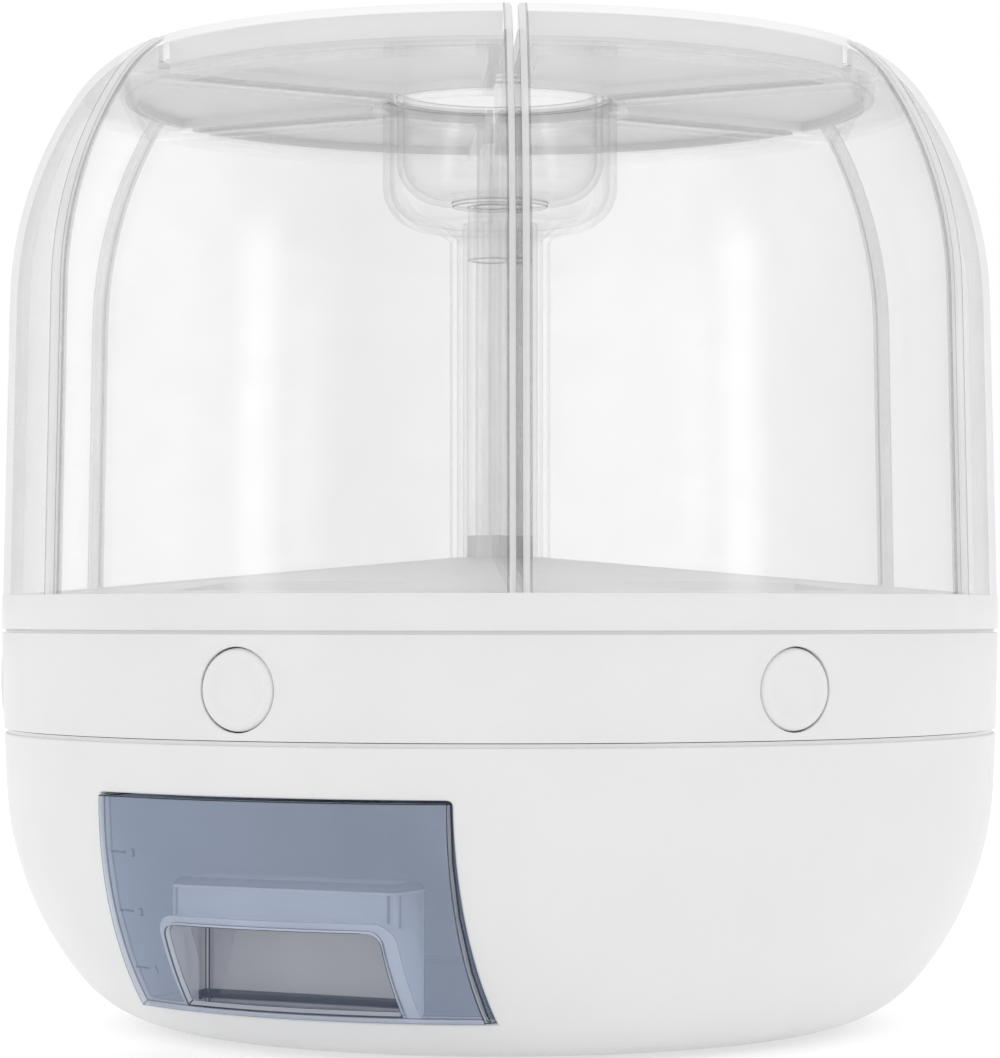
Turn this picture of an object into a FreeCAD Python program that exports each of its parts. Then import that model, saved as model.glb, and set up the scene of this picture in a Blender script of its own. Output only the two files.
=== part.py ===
import FreeCAD, Part
import math
import os

from FreeCAD import Vector

# Rotating grain dispenser, in millimetres. Z is up from the table, the origin is under the spindle,
# and the drawer pulls out along -Y. Angles go round Z from -Y towards +X.
# Six clear bins stand on a turning drum, and a push button under each bin opens its outlet.
# Long curves are turned as short straight bands, so the round shells keep few faces.

# Whole object
DRUM_RADIUS = 160.0
TOTAL_HEIGHT = 308.2
BIN_COUNT = 6
BIN_STEP = 360.0 / BIN_COUNT
DRUM_TURN = -1.6  # the drum stands this far round from the drawer, as it was last left
BAND_SAG = 0.5  # how far a band may stray inside its true curve

# Base bowl
BOWL_FLOOR_Z = 1.1
BOWL_TOP_Z = 93.9
BOWL_TOP_RADIUS = 159.3
BOWL_SLOPE = 2.42
BOWL_STRAIGHT_Z = 77.8
BOWL_SIDE_RADIUS = 103.7
BOWL_SIDE_END = 39.2
BOWL_WALL = 2.8
FOOT_RADIUS = 9.0
FOOT_PLACE = 62.0
FOOT_SINK = 1.0
FOOT_GAP = 0.15
WINDOW_CORNER = 1.6
WINDOW_BACK = -100.0  # behind this place along Y the bowl stays whole
PILLAR_RING = 95.0
PILLAR_RADIUS = 4.5
PILLAR_ANGLES = (50, 130, 230, 310)

# Base deck: the fixed plate under the drum, with the spindle
DECK_Z = 88.5
DECK_THICK = 3.0
DECK_RADIUS = 155.8
CHUTE_NEAR = 121.0
CHUTE_FAR = 145.0
CHUTE_HALF = 27.0
CHUTE_DROP = 8.0
CHUTE_WALL = 1.6
SPINDLE_RADIUS = 9.0
SPINDLE_TOP_Z = 121.0
SPINDLE_ROOT = 16.0
PAD_RING = 146.0
PAD_SIZE = (8.0, 18.0)
PAD_GAP = 0.1
PAD_EDGE = 1.0
PAD_TURN = 15.0  # keeps the pads clear of the chute and the pillars
SCREW_HEAD = 3.4
SCREW_HEAD_HIGH = 2.0
SCREW_SHANK = 1.6
SCREW_REACH = 14.0  # how far a screw goes into its pillar or the spindle
SCREW_HOLE = 16.0
WASHER_RADIUS = 13.5
WASHER_BORE = 1.8
WASHER_THICK = 1.4

# Drawer and the bay that holds it
DRAWER_HALF = 57.6
DRAWER_FLOOR_Z = 14.1
DRAWER_TOP_Z = 78.4
DRAWER_BACK = 24.6
DRAWER_WALL = 2.4
DRAWER_GAP = 0.8
DRAWER_CORNER = 1.2
FACE_CENTRE = (61.0, 77.0)
FACE_RADIUS = 99.0
FACE_DROP = 40.0
POCKET_HALF = 37.7
POCKET_TOP_Z = 54.5
POCKET_FRONT = -142.0
POCKET_BACK = -122.0
POCKET_CORNER = 3.0
POCKET_WALL = 2.2
GRIP_HALF = POCKET_HALF - POCKET_WALL
GRIP_TOP_Z = 41.0
GRIP_CORNER = 3.5
GRIP_BACK = -129.0
COLLAR_HALF = 39.3
COLLAR_TOP_Z = 43.8
COLLAR_CORNER = 6.0
COLLAR_DEPTH = 13.0
BAY_WALL = 2.0
BAY_BACK_GAP = 1.5
EAR_PLACES = (-96.0, 16.0)
EAR_WIDE = 8.0
EAR_LONG = 12.0
EAR_THICK = 3.0

# Drum: button ring, its floor and the sliding gates
RING_FOOT_Z = 95.3
RING_TOP_Z = 125.6
RING_DRAFT = 0.6
RING_WALL = 3.0
RING_DECK_Z = 122.3
RING_BORE = 18.0
SEAT_NEAR = DRUM_RADIUS - 4.0
SEAT_FAR = DRUM_RADIUS - 1.2
FLOOR_Z = 95.4
FLOOR_THICK = 1.9
FLOOR_HEAD_HIGH = 1.8
HUB_RADIUS = 15.0
HUB_GAP = 0.06
OUTLET_NEAR = 127.6
OUTLET_FAR = 138.6
OUTLET_HALF = 22.0
DUCT_WALL = 1.5
DUCT_TOP_Z = 119.5
FIT_GAP = 0.3
BOSS_RING = 76.0
BOSS_RADIUS = 4.0
RAIL_FAR = 148.0
RAIL_OUTSIDE = 31.7
GATE_Z = 119.7
GATE_THICK = 2.4
GATE_NEAR = 104.0
GATE_HALF = 29.5
GATE_COVER = 0.7
GATE_ARM = 3.0
GATE_PUSH_HALF = 8.0
GATE_TAB_HALF = 7.0
GATE_TAB_THICK = 2.4
BUTTON_Z = 109.8
BUTTON_RADIUS = 12.0
BUTTON_GAP = 0.35
BUTTON_PROUD = 1.5
BUTTON_DISH = 1.0
BUTTON_EDGE = 1.6
BUTTON_TRAVEL = 11.0
POST_FAR = 85.0
POST_THICK = 3.0
POST_HALF = 6.0
SPRING_STRIP = 0.6
SPRING_FOLDS = 5
SPRING_SWING = 5.0
SPRING_FOOT_Z = 110.5
SPRING_HEIGHT = 7.0

# Tray that the bins stand on
TRAY_FOOT_Z = 126.7
TRAY_WALL = 2.4
CONE_RIM_Z = 137.3
CONE_TOP_Z = 149.8
CONE_TOP_RADIUS = 14.0
HOPPER_NEAR = 115.0
HOPPER_FAR = 151.0
HOPPER_HALF = 33.0
HOPPER_TOP_Z = 142.0
HOPPER_FOOT_Z = 127.5
THROAT_FOOT_Z = 122.3
SOCKET_HIGH = 7.0
SOCKET_GAP = 0.05

# Bins: the dome's outline, from the tray to the rim
BIN_FOOT_RADIUS = 159.72
DOME_DRAFT = 1.3
DOME_STRAIGHT_Z = 231.0
DOME_SIDE_RADIUS = 120.0
DOME_SIDE_END = 33.6
DOME_TOP_RADIUS = 42.1
BIN_WALL = 2.2
BIN_GAP = 0.9
SIDE_TOP_Z = 300.8
LIP_BORE = 121.7
LEDGE_Z = 293.9
LEDGE_THICK = 2.0
LEDGE_REACH = 4.0

# Bins: the inner wall that goes round the centre column and under the cup
COLUMN_SIDE = 14.0
STEP_FOOT_Z = 253.0
STEP_TOP_RADIUS = 19.6
STEP_TOP_Z = 257.8
STEP_SHARE = 0.4  # how much of a wall's growth shows along the sloping step
WRAP_RADIUS = 35.8
WRAP_ROUND = 11.8
WRAP_CENTRE_Z = 270.0
WRAP_TOP_Z = 298.6
TRIM_GAP = 0.5

# Centre column and cup
COLUMN_RADIUS = 12.2
COLUMN_WALL = 1.4
COLUMN_TOP_Z = 258.0
CUP_RADIUS = 33.5
CUP_FLOOR_Z = 264.8
CUP_ROUND = 13.5
CUP_WALL = 2.0
CUP_FLANGE = 36.6
CUP_RING = 15.5
CUP_RING_HIGH = 1.4
SPIGOT_RADIUS = 10.4
SPIGOT_WALL = 1.8
SPIGOT_FOOT_Z = 246.0
SPIGOT_ROOF_Z = CUP_FLOOR_Z - 1.0

# Lids
LID_Z = 298.9
LID_THICK = 1.9
LID_GAP = 0.35
LID_LIP_Z = 306.2
LID_WALL = 1.6
LID_NEAR = 37.2
SKIRT_FOOT_Z = 296.2
SKIRT_INSET = 2.0
SEAL_GAP = 0.3
TAB_PLACE = 92.0
TAB_LENGTH = 30.0
TAB_THICK = 2.4
TAB_TOP_Z = 306.8
TAB_SLOPE = 4.0

FAR = 400.0
UP = Vector(0, 0, 1)
CENTRE = Vector(0, 0, 0)


def bin_angles():
    """The angle of each bin's middle, which is also its button's."""
    return [DRUM_TURN + BIN_STEP * k for k in range(BIN_COUNT)]


def turned(shape, angle):
    """A copy of a shape drawn along +X, turned to face outward at that angle from -Y."""
    copy = shape.copy()
    copy.rotate(CENTRE, UP, angle - 90)
    return copy


def ring_of(shape, angles):
    """One compound of the same loose piece at several angles."""
    return Part.makeCompound([turned(shape, angle) for angle in angles])


def moved(shape, x, y, z=0.0):
    copy = shape.copy()
    copy.translate(Vector(x, y, z))
    return copy


def block(low_x, high_x, low_y, high_y, low_z, high_z):
    return Part.makeBox(high_x - low_x, high_y - low_y, high_z - low_z, Vector(low_x, low_y, low_z))


def rod(radius, low_z, high_z, x=0.0, y=0.0):
    return Part.makeCylinder(radius, high_z - low_z, Vector(x, y, low_z))


def tube(outer, inner, low_z, high_z):
    return rod(outer, low_z, high_z).cut(rod(inner, low_z - 1, high_z + 1))


def outline(*points):
    """A closed face in the XZ plane."""
    corners = [Vector(x, 0, z) for x, z in points]
    return Part.Face(Part.makePolygon(corners + [corners[0]]))


def bend(centre, radius, start, end):
    """Points along an arc in the XZ plane, one for each band, with both of its ends."""
    widest = 2 * math.degrees(math.acos(1 - BAND_SAG / radius))
    bands = max(2, math.ceil(abs(end - start) / widest))
    angles = [math.radians(start + (end - start) * k / bands) for k in range(bands + 1)]
    return [(centre[0] + radius * math.cos(a), centre[1] + radius * math.sin(a)) for a in angles]


def centre_from(point, radius, degrees):
    """The centre of the arc that passes the point, where its normal points at the given angle."""
    angle = math.radians(degrees)
    return (point[0] - radius * math.cos(angle), point[1] - radius * math.sin(angle))


def revolved(face, degrees=360.0):
    """The face turned about Z, half of the sweep on each side of the XZ plane."""
    face = face.copy()
    if degrees < 360:
        face.rotate(CENTRE, UP, -degrees / 2)
    return face.revolve(CENTRE, UP, degrees)


def window(half, low_z, high_z, corner, low_y, high_y):
    """A block along Y with rounded upper corners, as seen from the front."""
    left = bend((corner - half, high_z - corner), corner, 90, 180)
    right = bend((half - corner, high_z - corner), corner, 0, 90)
    face = outline((-half, low_z), (half, low_z), *right, *left)
    return moved(face, 0, low_y).extrude(Vector(0, high_y - low_y, 0))


def wedge(inset, low_z, high_z):
    """One bin's sector, whose sides stand back from the true radial planes by the inset."""
    half_step = math.radians(BIN_STEP / 2)
    tip = inset / math.sin(half_step)
    far_x = tip + FAR * math.cos(half_step)
    far_y = FAR * math.sin(half_step)
    points = [Vector(tip, 0, low_z), Vector(far_x, -far_y, low_z), Vector(far_x, far_y, low_z)]
    face = Part.Face(Part.makePolygon(points + [points[0]]))
    return face.extrude(Vector(0, 0, high_z - low_z))


def many_sided(radius, sides, low_z, high_z, x=0.0, y=0.0):
    """An upright prism with flat sides, for the shanks and heads of hidden screws."""
    angles = [2 * math.pi * k / sides for k in range(sides + 1)]
    points = [Vector(x + radius * math.cos(a), y + radius * math.sin(a), low_z) for a in angles]
    points[-1] = points[0]
    return Part.Face(Part.makePolygon(points)).extrude(Vector(0, 0, high_z - low_z))


def screw(head_low, head_high, shank_low, shank_high, x):
    head = many_sided(SCREW_HEAD, 12, head_low, head_high, x)
    return head.fuse(many_sided(SCREW_SHANK, 6, shank_low, shank_high, x)).removeSplitter()


# Base


def bowl_profile(inset):
    """The bowl's outline, moved inward by the inset, from its rim to the flat bottom."""
    slope = math.radians(BOWL_SLOPE)
    drop = BOWL_TOP_Z - BOWL_STRAIGHT_Z
    start = (BOWL_TOP_RADIUS - drop * math.tan(slope), BOWL_STRAIGHT_Z)
    side_centre = centre_from(start, BOWL_SIDE_RADIUS, -BOWL_SLOPE)
    turn = bend(side_centre, BOWL_SIDE_RADIUS, -BOWL_SLOPE, -BOWL_SIDE_END)[-1]
    foot_radius = (turn[1] - BOWL_FLOOR_Z) / (1 - math.sin(math.radians(BOWL_SIDE_END)))
    foot_centre = centre_from(turn, foot_radius, -BOWL_SIDE_END)
    side = bend(side_centre, BOWL_SIDE_RADIUS - inset, -BOWL_SLOPE, -BOWL_SIDE_END)
    foot = bend(foot_centre, foot_radius - inset, -BOWL_SIDE_END, -90)
    rim = (BOWL_TOP_RADIUS - inset / math.cos(slope), BOWL_TOP_Z)
    return outline((0, BOWL_FLOOR_Z + inset), (0, BOWL_TOP_Z), rim, *side, *foot[1:])


def base_shell():
    """The white bowl: one moulding with the drawer's window, four pillars and the feet's recesses."""
    shell = revolved(bowl_profile(0)).cut(revolved(bowl_profile(BOWL_WALL)))
    pillar = rod(PILLAR_RADIUS, BOWL_FLOOR_Z + 1, DECK_Z, PILLAR_RING)
    hole = many_sided(SCREW_SHANK, 6, DECK_Z - SCREW_HOLE, DECK_Z + 1, PILLAR_RING)
    for angle in PILLAR_ANGLES:
        shell = shell.fuse(turned(pillar, angle)).cut(turned(hole, angle))
    half = DRAWER_HALF + DRAWER_GAP
    low_z, high_z = DRAWER_FLOOR_Z - DRAWER_GAP, DRAWER_TOP_Z + DRAWER_GAP
    shell = shell.cut(window(half, low_z, high_z, WINDOW_CORNER, -FAR, WINDOW_BACK))
    for x, y in foot_places():
        shell = shell.cut(rod(FOOT_RADIUS + FOOT_GAP, 0, BOWL_FLOOR_Z + FOOT_SINK, x, y))
    return shell.removeSplitter()


def foot_places():
    return [(x, y) for x in (-FOOT_PLACE, FOOT_PLACE) for y in (-FOOT_PLACE, FOOT_PLACE)]


def foot_pads():
    """Four round rubber feet, sunk into the bowl's flat bottom."""
    top_z = BOWL_FLOOR_Z + FOOT_SINK
    return Part.makeCompound([rod(FOOT_RADIUS, 0, top_z, x, y) for x, y in foot_places()])


def base_deck():
    """The fixed plate, with the spindle above it and the chute down to the drawer."""
    top_z = DECK_Z + DECK_THICK
    deck = rod(DECK_RADIUS, DECK_Z, top_z)
    deck = deck.fuse(rod(SPINDLE_ROOT, DECK_Z, FLOOR_Z - FIT_GAP))
    deck = deck.fuse(rod(SPINDLE_RADIUS, DECK_Z, SPINDLE_TOP_Z))
    half = CHUTE_HALF + CHUTE_WALL
    far, near = -CHUTE_FAR - CHUTE_WALL, -CHUTE_NEAR + CHUTE_WALL
    chute = block(-half, half, far, near, DECK_Z - CHUTE_DROP, DECK_Z)
    deck = deck.fuse(chute).cut(block(-CHUTE_HALF, CHUTE_HALF, -CHUTE_FAR, -CHUTE_NEAR, 0, FAR))
    deck = deck.cut(many_sided(SCREW_SHANK, 6, SPINDLE_TOP_Z - SCREW_HOLE, FAR))
    for angle in PILLAR_ANGLES:
        deck = deck.cut(turned(many_sided(SCREW_SHANK, 6, 0, FAR, PILLAR_RING), angle))
    return deck.removeSplitter()


def glide_pads():
    """Low-friction pads on the deck that carry the drum's floor."""
    low_z = DECK_Z + DECK_THICK
    top_z = FLOOR_Z - PAD_GAP
    wide, long = PAD_SIZE
    pad = block(PAD_RING - wide / 2, PAD_RING + wide / 2, -long / 2, long / 2, low_z, top_z)
    top_edges = [edge for edge in pad.Edges if edge.BoundBox.ZMin > top_z - 0.01]
    angles = [PAD_TURN + BIN_STEP * (k + 0.5) for k in range(BIN_COUNT)]
    return ring_of(pad.makeChamfer(PAD_EDGE, top_edges), angles)


def deck_screws():
    """The screws that hold the deck down on the bowl's pillars."""
    top_z = DECK_Z + DECK_THICK
    one = screw(top_z, top_z + SCREW_HEAD_HIGH, DECK_Z - SCREW_REACH, top_z + 1, PILLAR_RING)
    return ring_of(one, PILLAR_ANGLES)


def hub_washer():
    """The washer on the spindle's end that keeps the drum down."""
    return tube(WASHER_RADIUS, WASHER_BORE, SPINDLE_TOP_Z, SPINDLE_TOP_Z + WASHER_THICK)


def hub_screw():
    """The screw that holds the washer on the spindle."""
    low_z = SPINDLE_TOP_Z + WASHER_THICK
    return screw(low_z, low_z + SCREW_HEAD_HIGH, SPINDLE_TOP_Z - SCREW_REACH, low_z + 1, 0)


def drawer_bay():
    """The liner that the drawer slides in: floor, two sides and a back, hung under the deck."""
    inner = DRAWER_HALF + DRAWER_GAP
    outer = inner + BAY_WALL
    floor_z = DRAWER_FLOOR_Z - FIT_GAP
    back = DRAWER_BACK + BAY_BACK_GAP
    bay = block(-outer, outer, -FAR, back + BAY_WALL, floor_z - BAY_WALL, DECK_Z)
    bay = bay.cut(block(-inner, inner, -FAR, back, floor_z, FAR))
    ear = block(-EAR_WIDE / 2, EAR_WIDE / 2, -EAR_LONG / 2, EAR_LONG / 2, DECK_Z - EAR_THICK, DECK_Z)
    for x, y in ear_places():
        bay = bay.fuse(moved(ear, x, y))
    return bay.common(revolved(bowl_profile(BOWL_WALL + FIT_GAP))).removeSplitter()


def ear_places():
    """The middles of the four ears that hang the bay under the deck."""
    x = DRAWER_HALF + DRAWER_GAP + BAY_WALL + EAR_WIDE / 2
    return [(side * x, y) for side in (-1, 1) for y in EAR_PLACES]


def bay_screws():
    """Short screws driven up through the bay's ears, with their heads underneath."""
    high_z = DECK_Z - EAR_THICK
    one = many_sided(SCREW_HEAD, 12, high_z - SCREW_HEAD_HIGH, high_z)
    return Part.makeCompound([moved(one, x, y) for x, y in ear_places()])


# Drawer


def face_profile(inset):
    """The outline of the drawer's curved face, which stands prouder towards its foot."""
    radius = FACE_RADIUS - inset
    rise = math.degrees(math.asin((DRAWER_TOP_Z - FACE_CENTRE[1]) / radius))
    points = bend(FACE_CENTRE, radius, rise, -FACE_DROP)
    return outline((0, 0), (0, FAR), (points[0][0], FAR), *points, (points[-1][0] - 10, 0))


def measuring_drawer():
    """The tinted drawer, all one moulding: curved face, box, and a finger pocket with a collar."""
    face = revolved(face_profile(0))
    behind_face = revolved(face_profile(DRAWER_WALL))
    drawer = window(DRAWER_HALF, DRAWER_FLOOR_Z, DRAWER_TOP_Z, DRAWER_CORNER, -FAR, DRAWER_BACK)
    drawer = drawer.common(face)
    side = DRAWER_HALF - DRAWER_WALL
    inside = block(-side, side, -FAR, DRAWER_BACK - DRAWER_WALL, DRAWER_FLOOR_Z + DRAWER_WALL, FAR)
    drawer = drawer.cut(inside.common(behind_face))
    collar = window(COLLAR_HALF, DRAWER_FLOOR_Z, COLLAR_TOP_Z, COLLAR_CORNER, -FAR, GRIP_BACK)
    collar = collar.cut(revolved(face_profile(COLLAR_DEPTH)))
    pocket = window(POCKET_HALF, DRAWER_FLOOR_Z, POCKET_TOP_Z, POCKET_CORNER, POCKET_FRONT, POCKET_BACK)
    drawer = drawer.fuse(collar.fuse(pocket).common(face))
    floor_z, room_top_z = DRAWER_FLOOR_Z + POCKET_WALL, POCKET_TOP_Z - POCKET_WALL
    near, far = POCKET_FRONT + POCKET_WALL, POCKET_BACK - POCKET_WALL
    room = window(POCKET_HALF - POCKET_WALL, floor_z, room_top_z, POCKET_CORNER / 2, near, far)
    drawer = drawer.cut(room.common(behind_face))
    return drawer.cut(window(GRIP_HALF, floor_z, GRIP_TOP_Z, GRIP_CORNER, -FAR, GRIP_BACK)).removeSplitter()


# Drum


def outlet(grow):
    """The throat of one outlet, larger on every side by the given amount."""
    return block(OUTLET_NEAR - grow, OUTLET_FAR + grow, -OUTLET_HALF - grow, OUTLET_HALF + grow, 0, FAR)


def button_ring():
    """The white ring that carries the buttons, with its deck and a rib that seats the tray."""
    ring = revolved(outline(
        (DRUM_RADIUS - RING_WALL, RING_FOOT_Z),
        (DRUM_RADIUS - RING_DRAFT, RING_FOOT_Z),
        (DRUM_RADIUS, RING_TOP_Z),
        (SEAT_FAR, RING_TOP_Z),
        (SEAT_FAR, TRAY_FOOT_Z),
        (SEAT_NEAR, TRAY_FOOT_Z),
        (SEAT_NEAR, RING_TOP_Z),
        (RING_BORE, RING_TOP_Z),
        (RING_BORE, RING_DECK_Z),
        (DRUM_RADIUS - RING_WALL, RING_DECK_Z),
    ))
    bore_start = Vector(DRUM_RADIUS - 12, 0, BUTTON_Z)
    bore = Part.makeCylinder(BUTTON_RADIUS + BUTTON_GAP, 20, bore_start, Vector(1, 0, 0))
    for angle in bin_angles():
        ring = ring.cut(turned(bore, angle))
        ring = ring.cut(turned(outlet(DUCT_WALL + FIT_GAP), angle))
    return ring.removeSplitter()


def ring_floor():
    """The drum's floor: a hub, and for each bin a duct, two gate rails and a spring post."""
    floor = rod(DRUM_RADIUS - RING_WALL - 1, FLOOR_Z, FLOOR_Z + FLOOR_THICK)
    floor = floor.fuse(rod(HUB_RADIUS, FLOOR_Z, SPINDLE_TOP_Z - FIT_GAP))
    floor = floor.cut(rod(SPINDLE_RADIUS + HUB_GAP, 0, FAR))
    near, far, half = OUTLET_NEAR - DUCT_WALL, OUTLET_FAR + DUCT_WALL, OUTLET_HALF + DUCT_WALL
    duct = block(near, far, -half, half, FLOOR_Z, DUCT_TOP_Z)
    rail = block(GATE_NEAR, RAIL_FAR, GATE_HALF + FIT_GAP, RAIL_OUTSIDE, FLOOR_Z, RING_DECK_Z)
    other_rail = moved(rail, 0, -GATE_HALF - FIT_GAP - RAIL_OUTSIDE)
    post = block(POST_FAR - POST_THICK, POST_FAR, -POST_HALF, POST_HALF, FLOOR_Z, DUCT_TOP_Z)
    for angle in bin_angles():
        for piece in (duct, rail, other_rail, post):
            floor = floor.fuse(turned(piece, angle))
        floor = floor.cut(turned(outlet(0), angle))
    for angle in boss_angles():
        floor = floor.fuse(turned(rod(BOSS_RADIUS, FLOOR_Z, RING_DECK_Z, BOSS_RING), angle))
    return floor.removeSplitter()


def boss_angles():
    """The floor's bosses, under the gaps between every other pair of bins."""
    return [angle + BIN_STEP / 2 for angle in bin_angles()[::2]]


def floor_screws():
    """The heads of the screws that hold the drum's floor up against the ring."""
    one = many_sided(SCREW_HEAD, 12, FLOOR_Z - FLOOR_HEAD_HIGH, FLOOR_Z, BOSS_RING)
    return ring_of(one, boss_angles())


def cone_z(radius):
    """The height of the tray's sloping floor, which falls from the column to the rim."""
    fall = (CONE_TOP_Z - CONE_RIM_Z) / (BIN_FOOT_RADIUS - CONE_TOP_RADIUS)
    return CONE_TOP_Z - fall * (radius - CONE_TOP_RADIUS)


def hopper(grow):
    """The funnel from the sloping floor down through an outlet, as a solid."""
    near, far, half = OUTLET_NEAR - grow, OUTLET_FAR + grow, OUTLET_HALF + grow
    mouth_near, mouth_far, mouth_half = HOPPER_NEAR - grow, HOPPER_FAR + grow, HOPPER_HALF + grow
    throat_sides = (near, HOPPER_FOOT_Z, -half)
    far_throat_sides = (far, HOPPER_TOP_Z, half)
    funnel = Part.makeWedge(*throat_sides, -mouth_half, mouth_near, *far_throat_sides, mouth_half, mouth_far)
    funnel.rotate(CENTRE, Vector(1, 0, 0), 90)  # a wedge narrows along Y until it is turned
    return funnel.fuse(block(near, far, -half, half, THROAT_FOOT_Z, HOPPER_FOOT_Z))


def bin_tray():
    """The pale tray: outer band, sloping floor, one funnel for each bin and the column's socket."""
    tray = revolved(outline(
        (DRUM_RADIUS - TRAY_WALL, TRAY_FOOT_Z),
        (DRUM_RADIUS, TRAY_FOOT_Z),
        (DRUM_RADIUS, CONE_RIM_Z),
        (BIN_FOOT_RADIUS, CONE_RIM_Z),
        (CONE_TOP_RADIUS, CONE_TOP_Z),
        (0, CONE_TOP_Z),
        (0, CONE_TOP_Z - TRAY_WALL),
        (CONE_TOP_RADIUS, CONE_TOP_Z - TRAY_WALL),
        (DRUM_RADIUS - TRAY_WALL, cone_z(DRUM_RADIUS - TRAY_WALL) - TRAY_WALL),
    ))
    slope = ((FAR, cone_z(FAR)), (CONE_TOP_RADIUS, CONE_TOP_Z))
    below_cone = revolved(outline((0, 0), (FAR, 0), *slope, (0, CONE_TOP_Z)))
    for angle in bin_angles():
        tray = tray.fuse(turned(hopper(DUCT_WALL), angle).common(below_cone))
    for angle in bin_angles():
        tray = tray.cut(turned(hopper(0), angle))
    socket = rod(COLUMN_RADIUS - COLUMN_WALL - SOCKET_GAP, CONE_TOP_Z - 1, CONE_TOP_Z + SOCKET_HIGH)
    return tray.fuse(socket).removeSplitter()


# Bins


def dome_profile(inset):
    """A section from near the axis out to the dome's outline, moved inward by the inset."""
    draft = math.radians(DOME_DRAFT)
    start = (BIN_FOOT_RADIUS - (DOME_STRAIGHT_Z - CONE_RIM_Z) * math.tan(draft), DOME_STRAIGHT_Z)
    side_centre = centre_from(start, DOME_SIDE_RADIUS, DOME_DRAFT)
    side = bend(side_centre, DOME_SIDE_RADIUS - inset, DOME_DRAFT, DOME_SIDE_END)
    turn = bend(side_centre, DOME_SIDE_RADIUS, DOME_DRAFT, DOME_SIDE_END)[-1]
    top_centre = centre_from(turn, DOME_TOP_RADIUS, DOME_SIDE_END)
    radius = DOME_TOP_RADIUS - inset
    end = math.degrees(math.asin((TOTAL_HEIGHT - top_centre[1]) / radius))
    top = bend(top_centre, radius, DOME_SIDE_END, end)
    foot_z = CONE_RIM_Z - 8  # trimmed to the sloping floor afterwards
    foot = start[0] + (start[1] - foot_z) * math.tan(draft) - inset / math.cos(draft)
    return outline((5, foot_z), (foot, foot_z), *side, *top[1:], (5, TOTAL_HEIGHT))


def core_profile(grow):
    """The room round the axis that a bin's inner wall leaves for the column and the cup."""
    centre = (WRAP_RADIUS - WRAP_ROUND, WRAP_CENTRE_Z)
    return outline(
        (0, 0),
        (COLUMN_SIDE + grow, 0),
        (COLUMN_SIDE + grow, STEP_FOOT_Z - STEP_SHARE * grow),
        (STEP_TOP_RADIUS + STEP_SHARE * grow, STEP_TOP_Z - grow),
        *bend(centre, WRAP_ROUND + grow, -90, 0)[1:],
        (WRAP_RADIUS + grow, FAR),
        (0, FAR),
    )


def grain_bin():
    """One clear bin: dome wall, two side walls, inner wall and the ledge that carries the lid."""
    sweep = BIN_STEP + 10
    whole = revolved(dome_profile(0), sweep).common(wedge(BIN_GAP, 0, FAR))
    inner_sides = wedge(BIN_GAP + BIN_WALL, 0, FAR)
    room = revolved(dome_profile(BIN_WALL), sweep).common(inner_sides)
    room = room.cut(revolved(core_profile(BIN_WALL), sweep))
    ledge = block(0, FAR, -FAR, FAR, LEDGE_Z, LEDGE_Z + LEDGE_THICK)
    ledge_hole = tube(LIP_BORE - LEDGE_REACH, WRAP_RADIUS + BIN_WALL + LEDGE_REACH, 0, FAR)
    ledge = ledge.cut(ledge_hole.common(wedge(BIN_GAP + BIN_WALL + LEDGE_REACH, -1, FAR)))
    shell = whole.cut(room.cut(ledge)).cut(revolved(core_profile(0), sweep))
    slope = ((CONE_TOP_RADIUS, CONE_TOP_Z), (FAR, cone_z(FAR)))
    above_cone = outline((0, CONE_TOP_Z), *slope, (FAR, FAR), (0, FAR))
    shell = shell.common(revolved(above_cone, sweep))
    shell = shell.cut(rod(LIP_BORE, SIDE_TOP_Z, FAR))
    return shell.cut(rod(WRAP_RADIUS + BIN_WALL + TRIM_GAP, WRAP_TOP_Z, FAR)).removeSplitter()


def centre_column():
    """The clear tube that stands on the tray and takes the cup's spigot."""
    return tube(COLUMN_RADIUS, COLUMN_RADIUS - COLUMN_WALL, CONE_TOP_Z, COLUMN_TOP_Z)


def cup_profile(inset):
    """The cup's outline, moved inward by the inset, from its axis to its rim."""
    centre = (CUP_RADIUS - CUP_ROUND, CUP_FLOOR_Z + CUP_ROUND)
    curve = bend(centre, CUP_ROUND - inset, -90, 0)
    return outline((0, CUP_FLOOR_Z + inset), *curve, (CUP_RADIUS - inset, SIDE_TOP_Z), (0, SIDE_TOP_Z))


def centre_cup():
    """The cup that closes the middle: flanged rim, foot ring and the spigot that plugs the column."""
    cup = revolved(cup_profile(0)).fuse(rod(CUP_FLANGE, LID_Z, SIDE_TOP_Z))
    cup = cup.cut(revolved(cup_profile(CUP_WALL)))
    in_floor_z = CUP_FLOOR_Z + CUP_WALL / 4
    cup = cup.fuse(rod(CUP_RING, CUP_FLOOR_Z - CUP_RING_HIGH, in_floor_z))
    spigot = rod(SPIGOT_RADIUS, SPIGOT_FOOT_Z, in_floor_z)
    cup = cup.fuse(spigot).cut(rod(SPIGOT_RADIUS - SPIGOT_WALL, SPIGOT_FOOT_Z, SPIGOT_ROOF_Z))
    return cup.removeSplitter()


# Lids


def sector(inset, near, far, low_z, high_z):
    """A fan-shaped plate between two radii, set back from the bin's radial planes."""
    return tube(far, near, low_z, high_z).common(wedge(inset, low_z - 1, high_z + 1))


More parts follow.
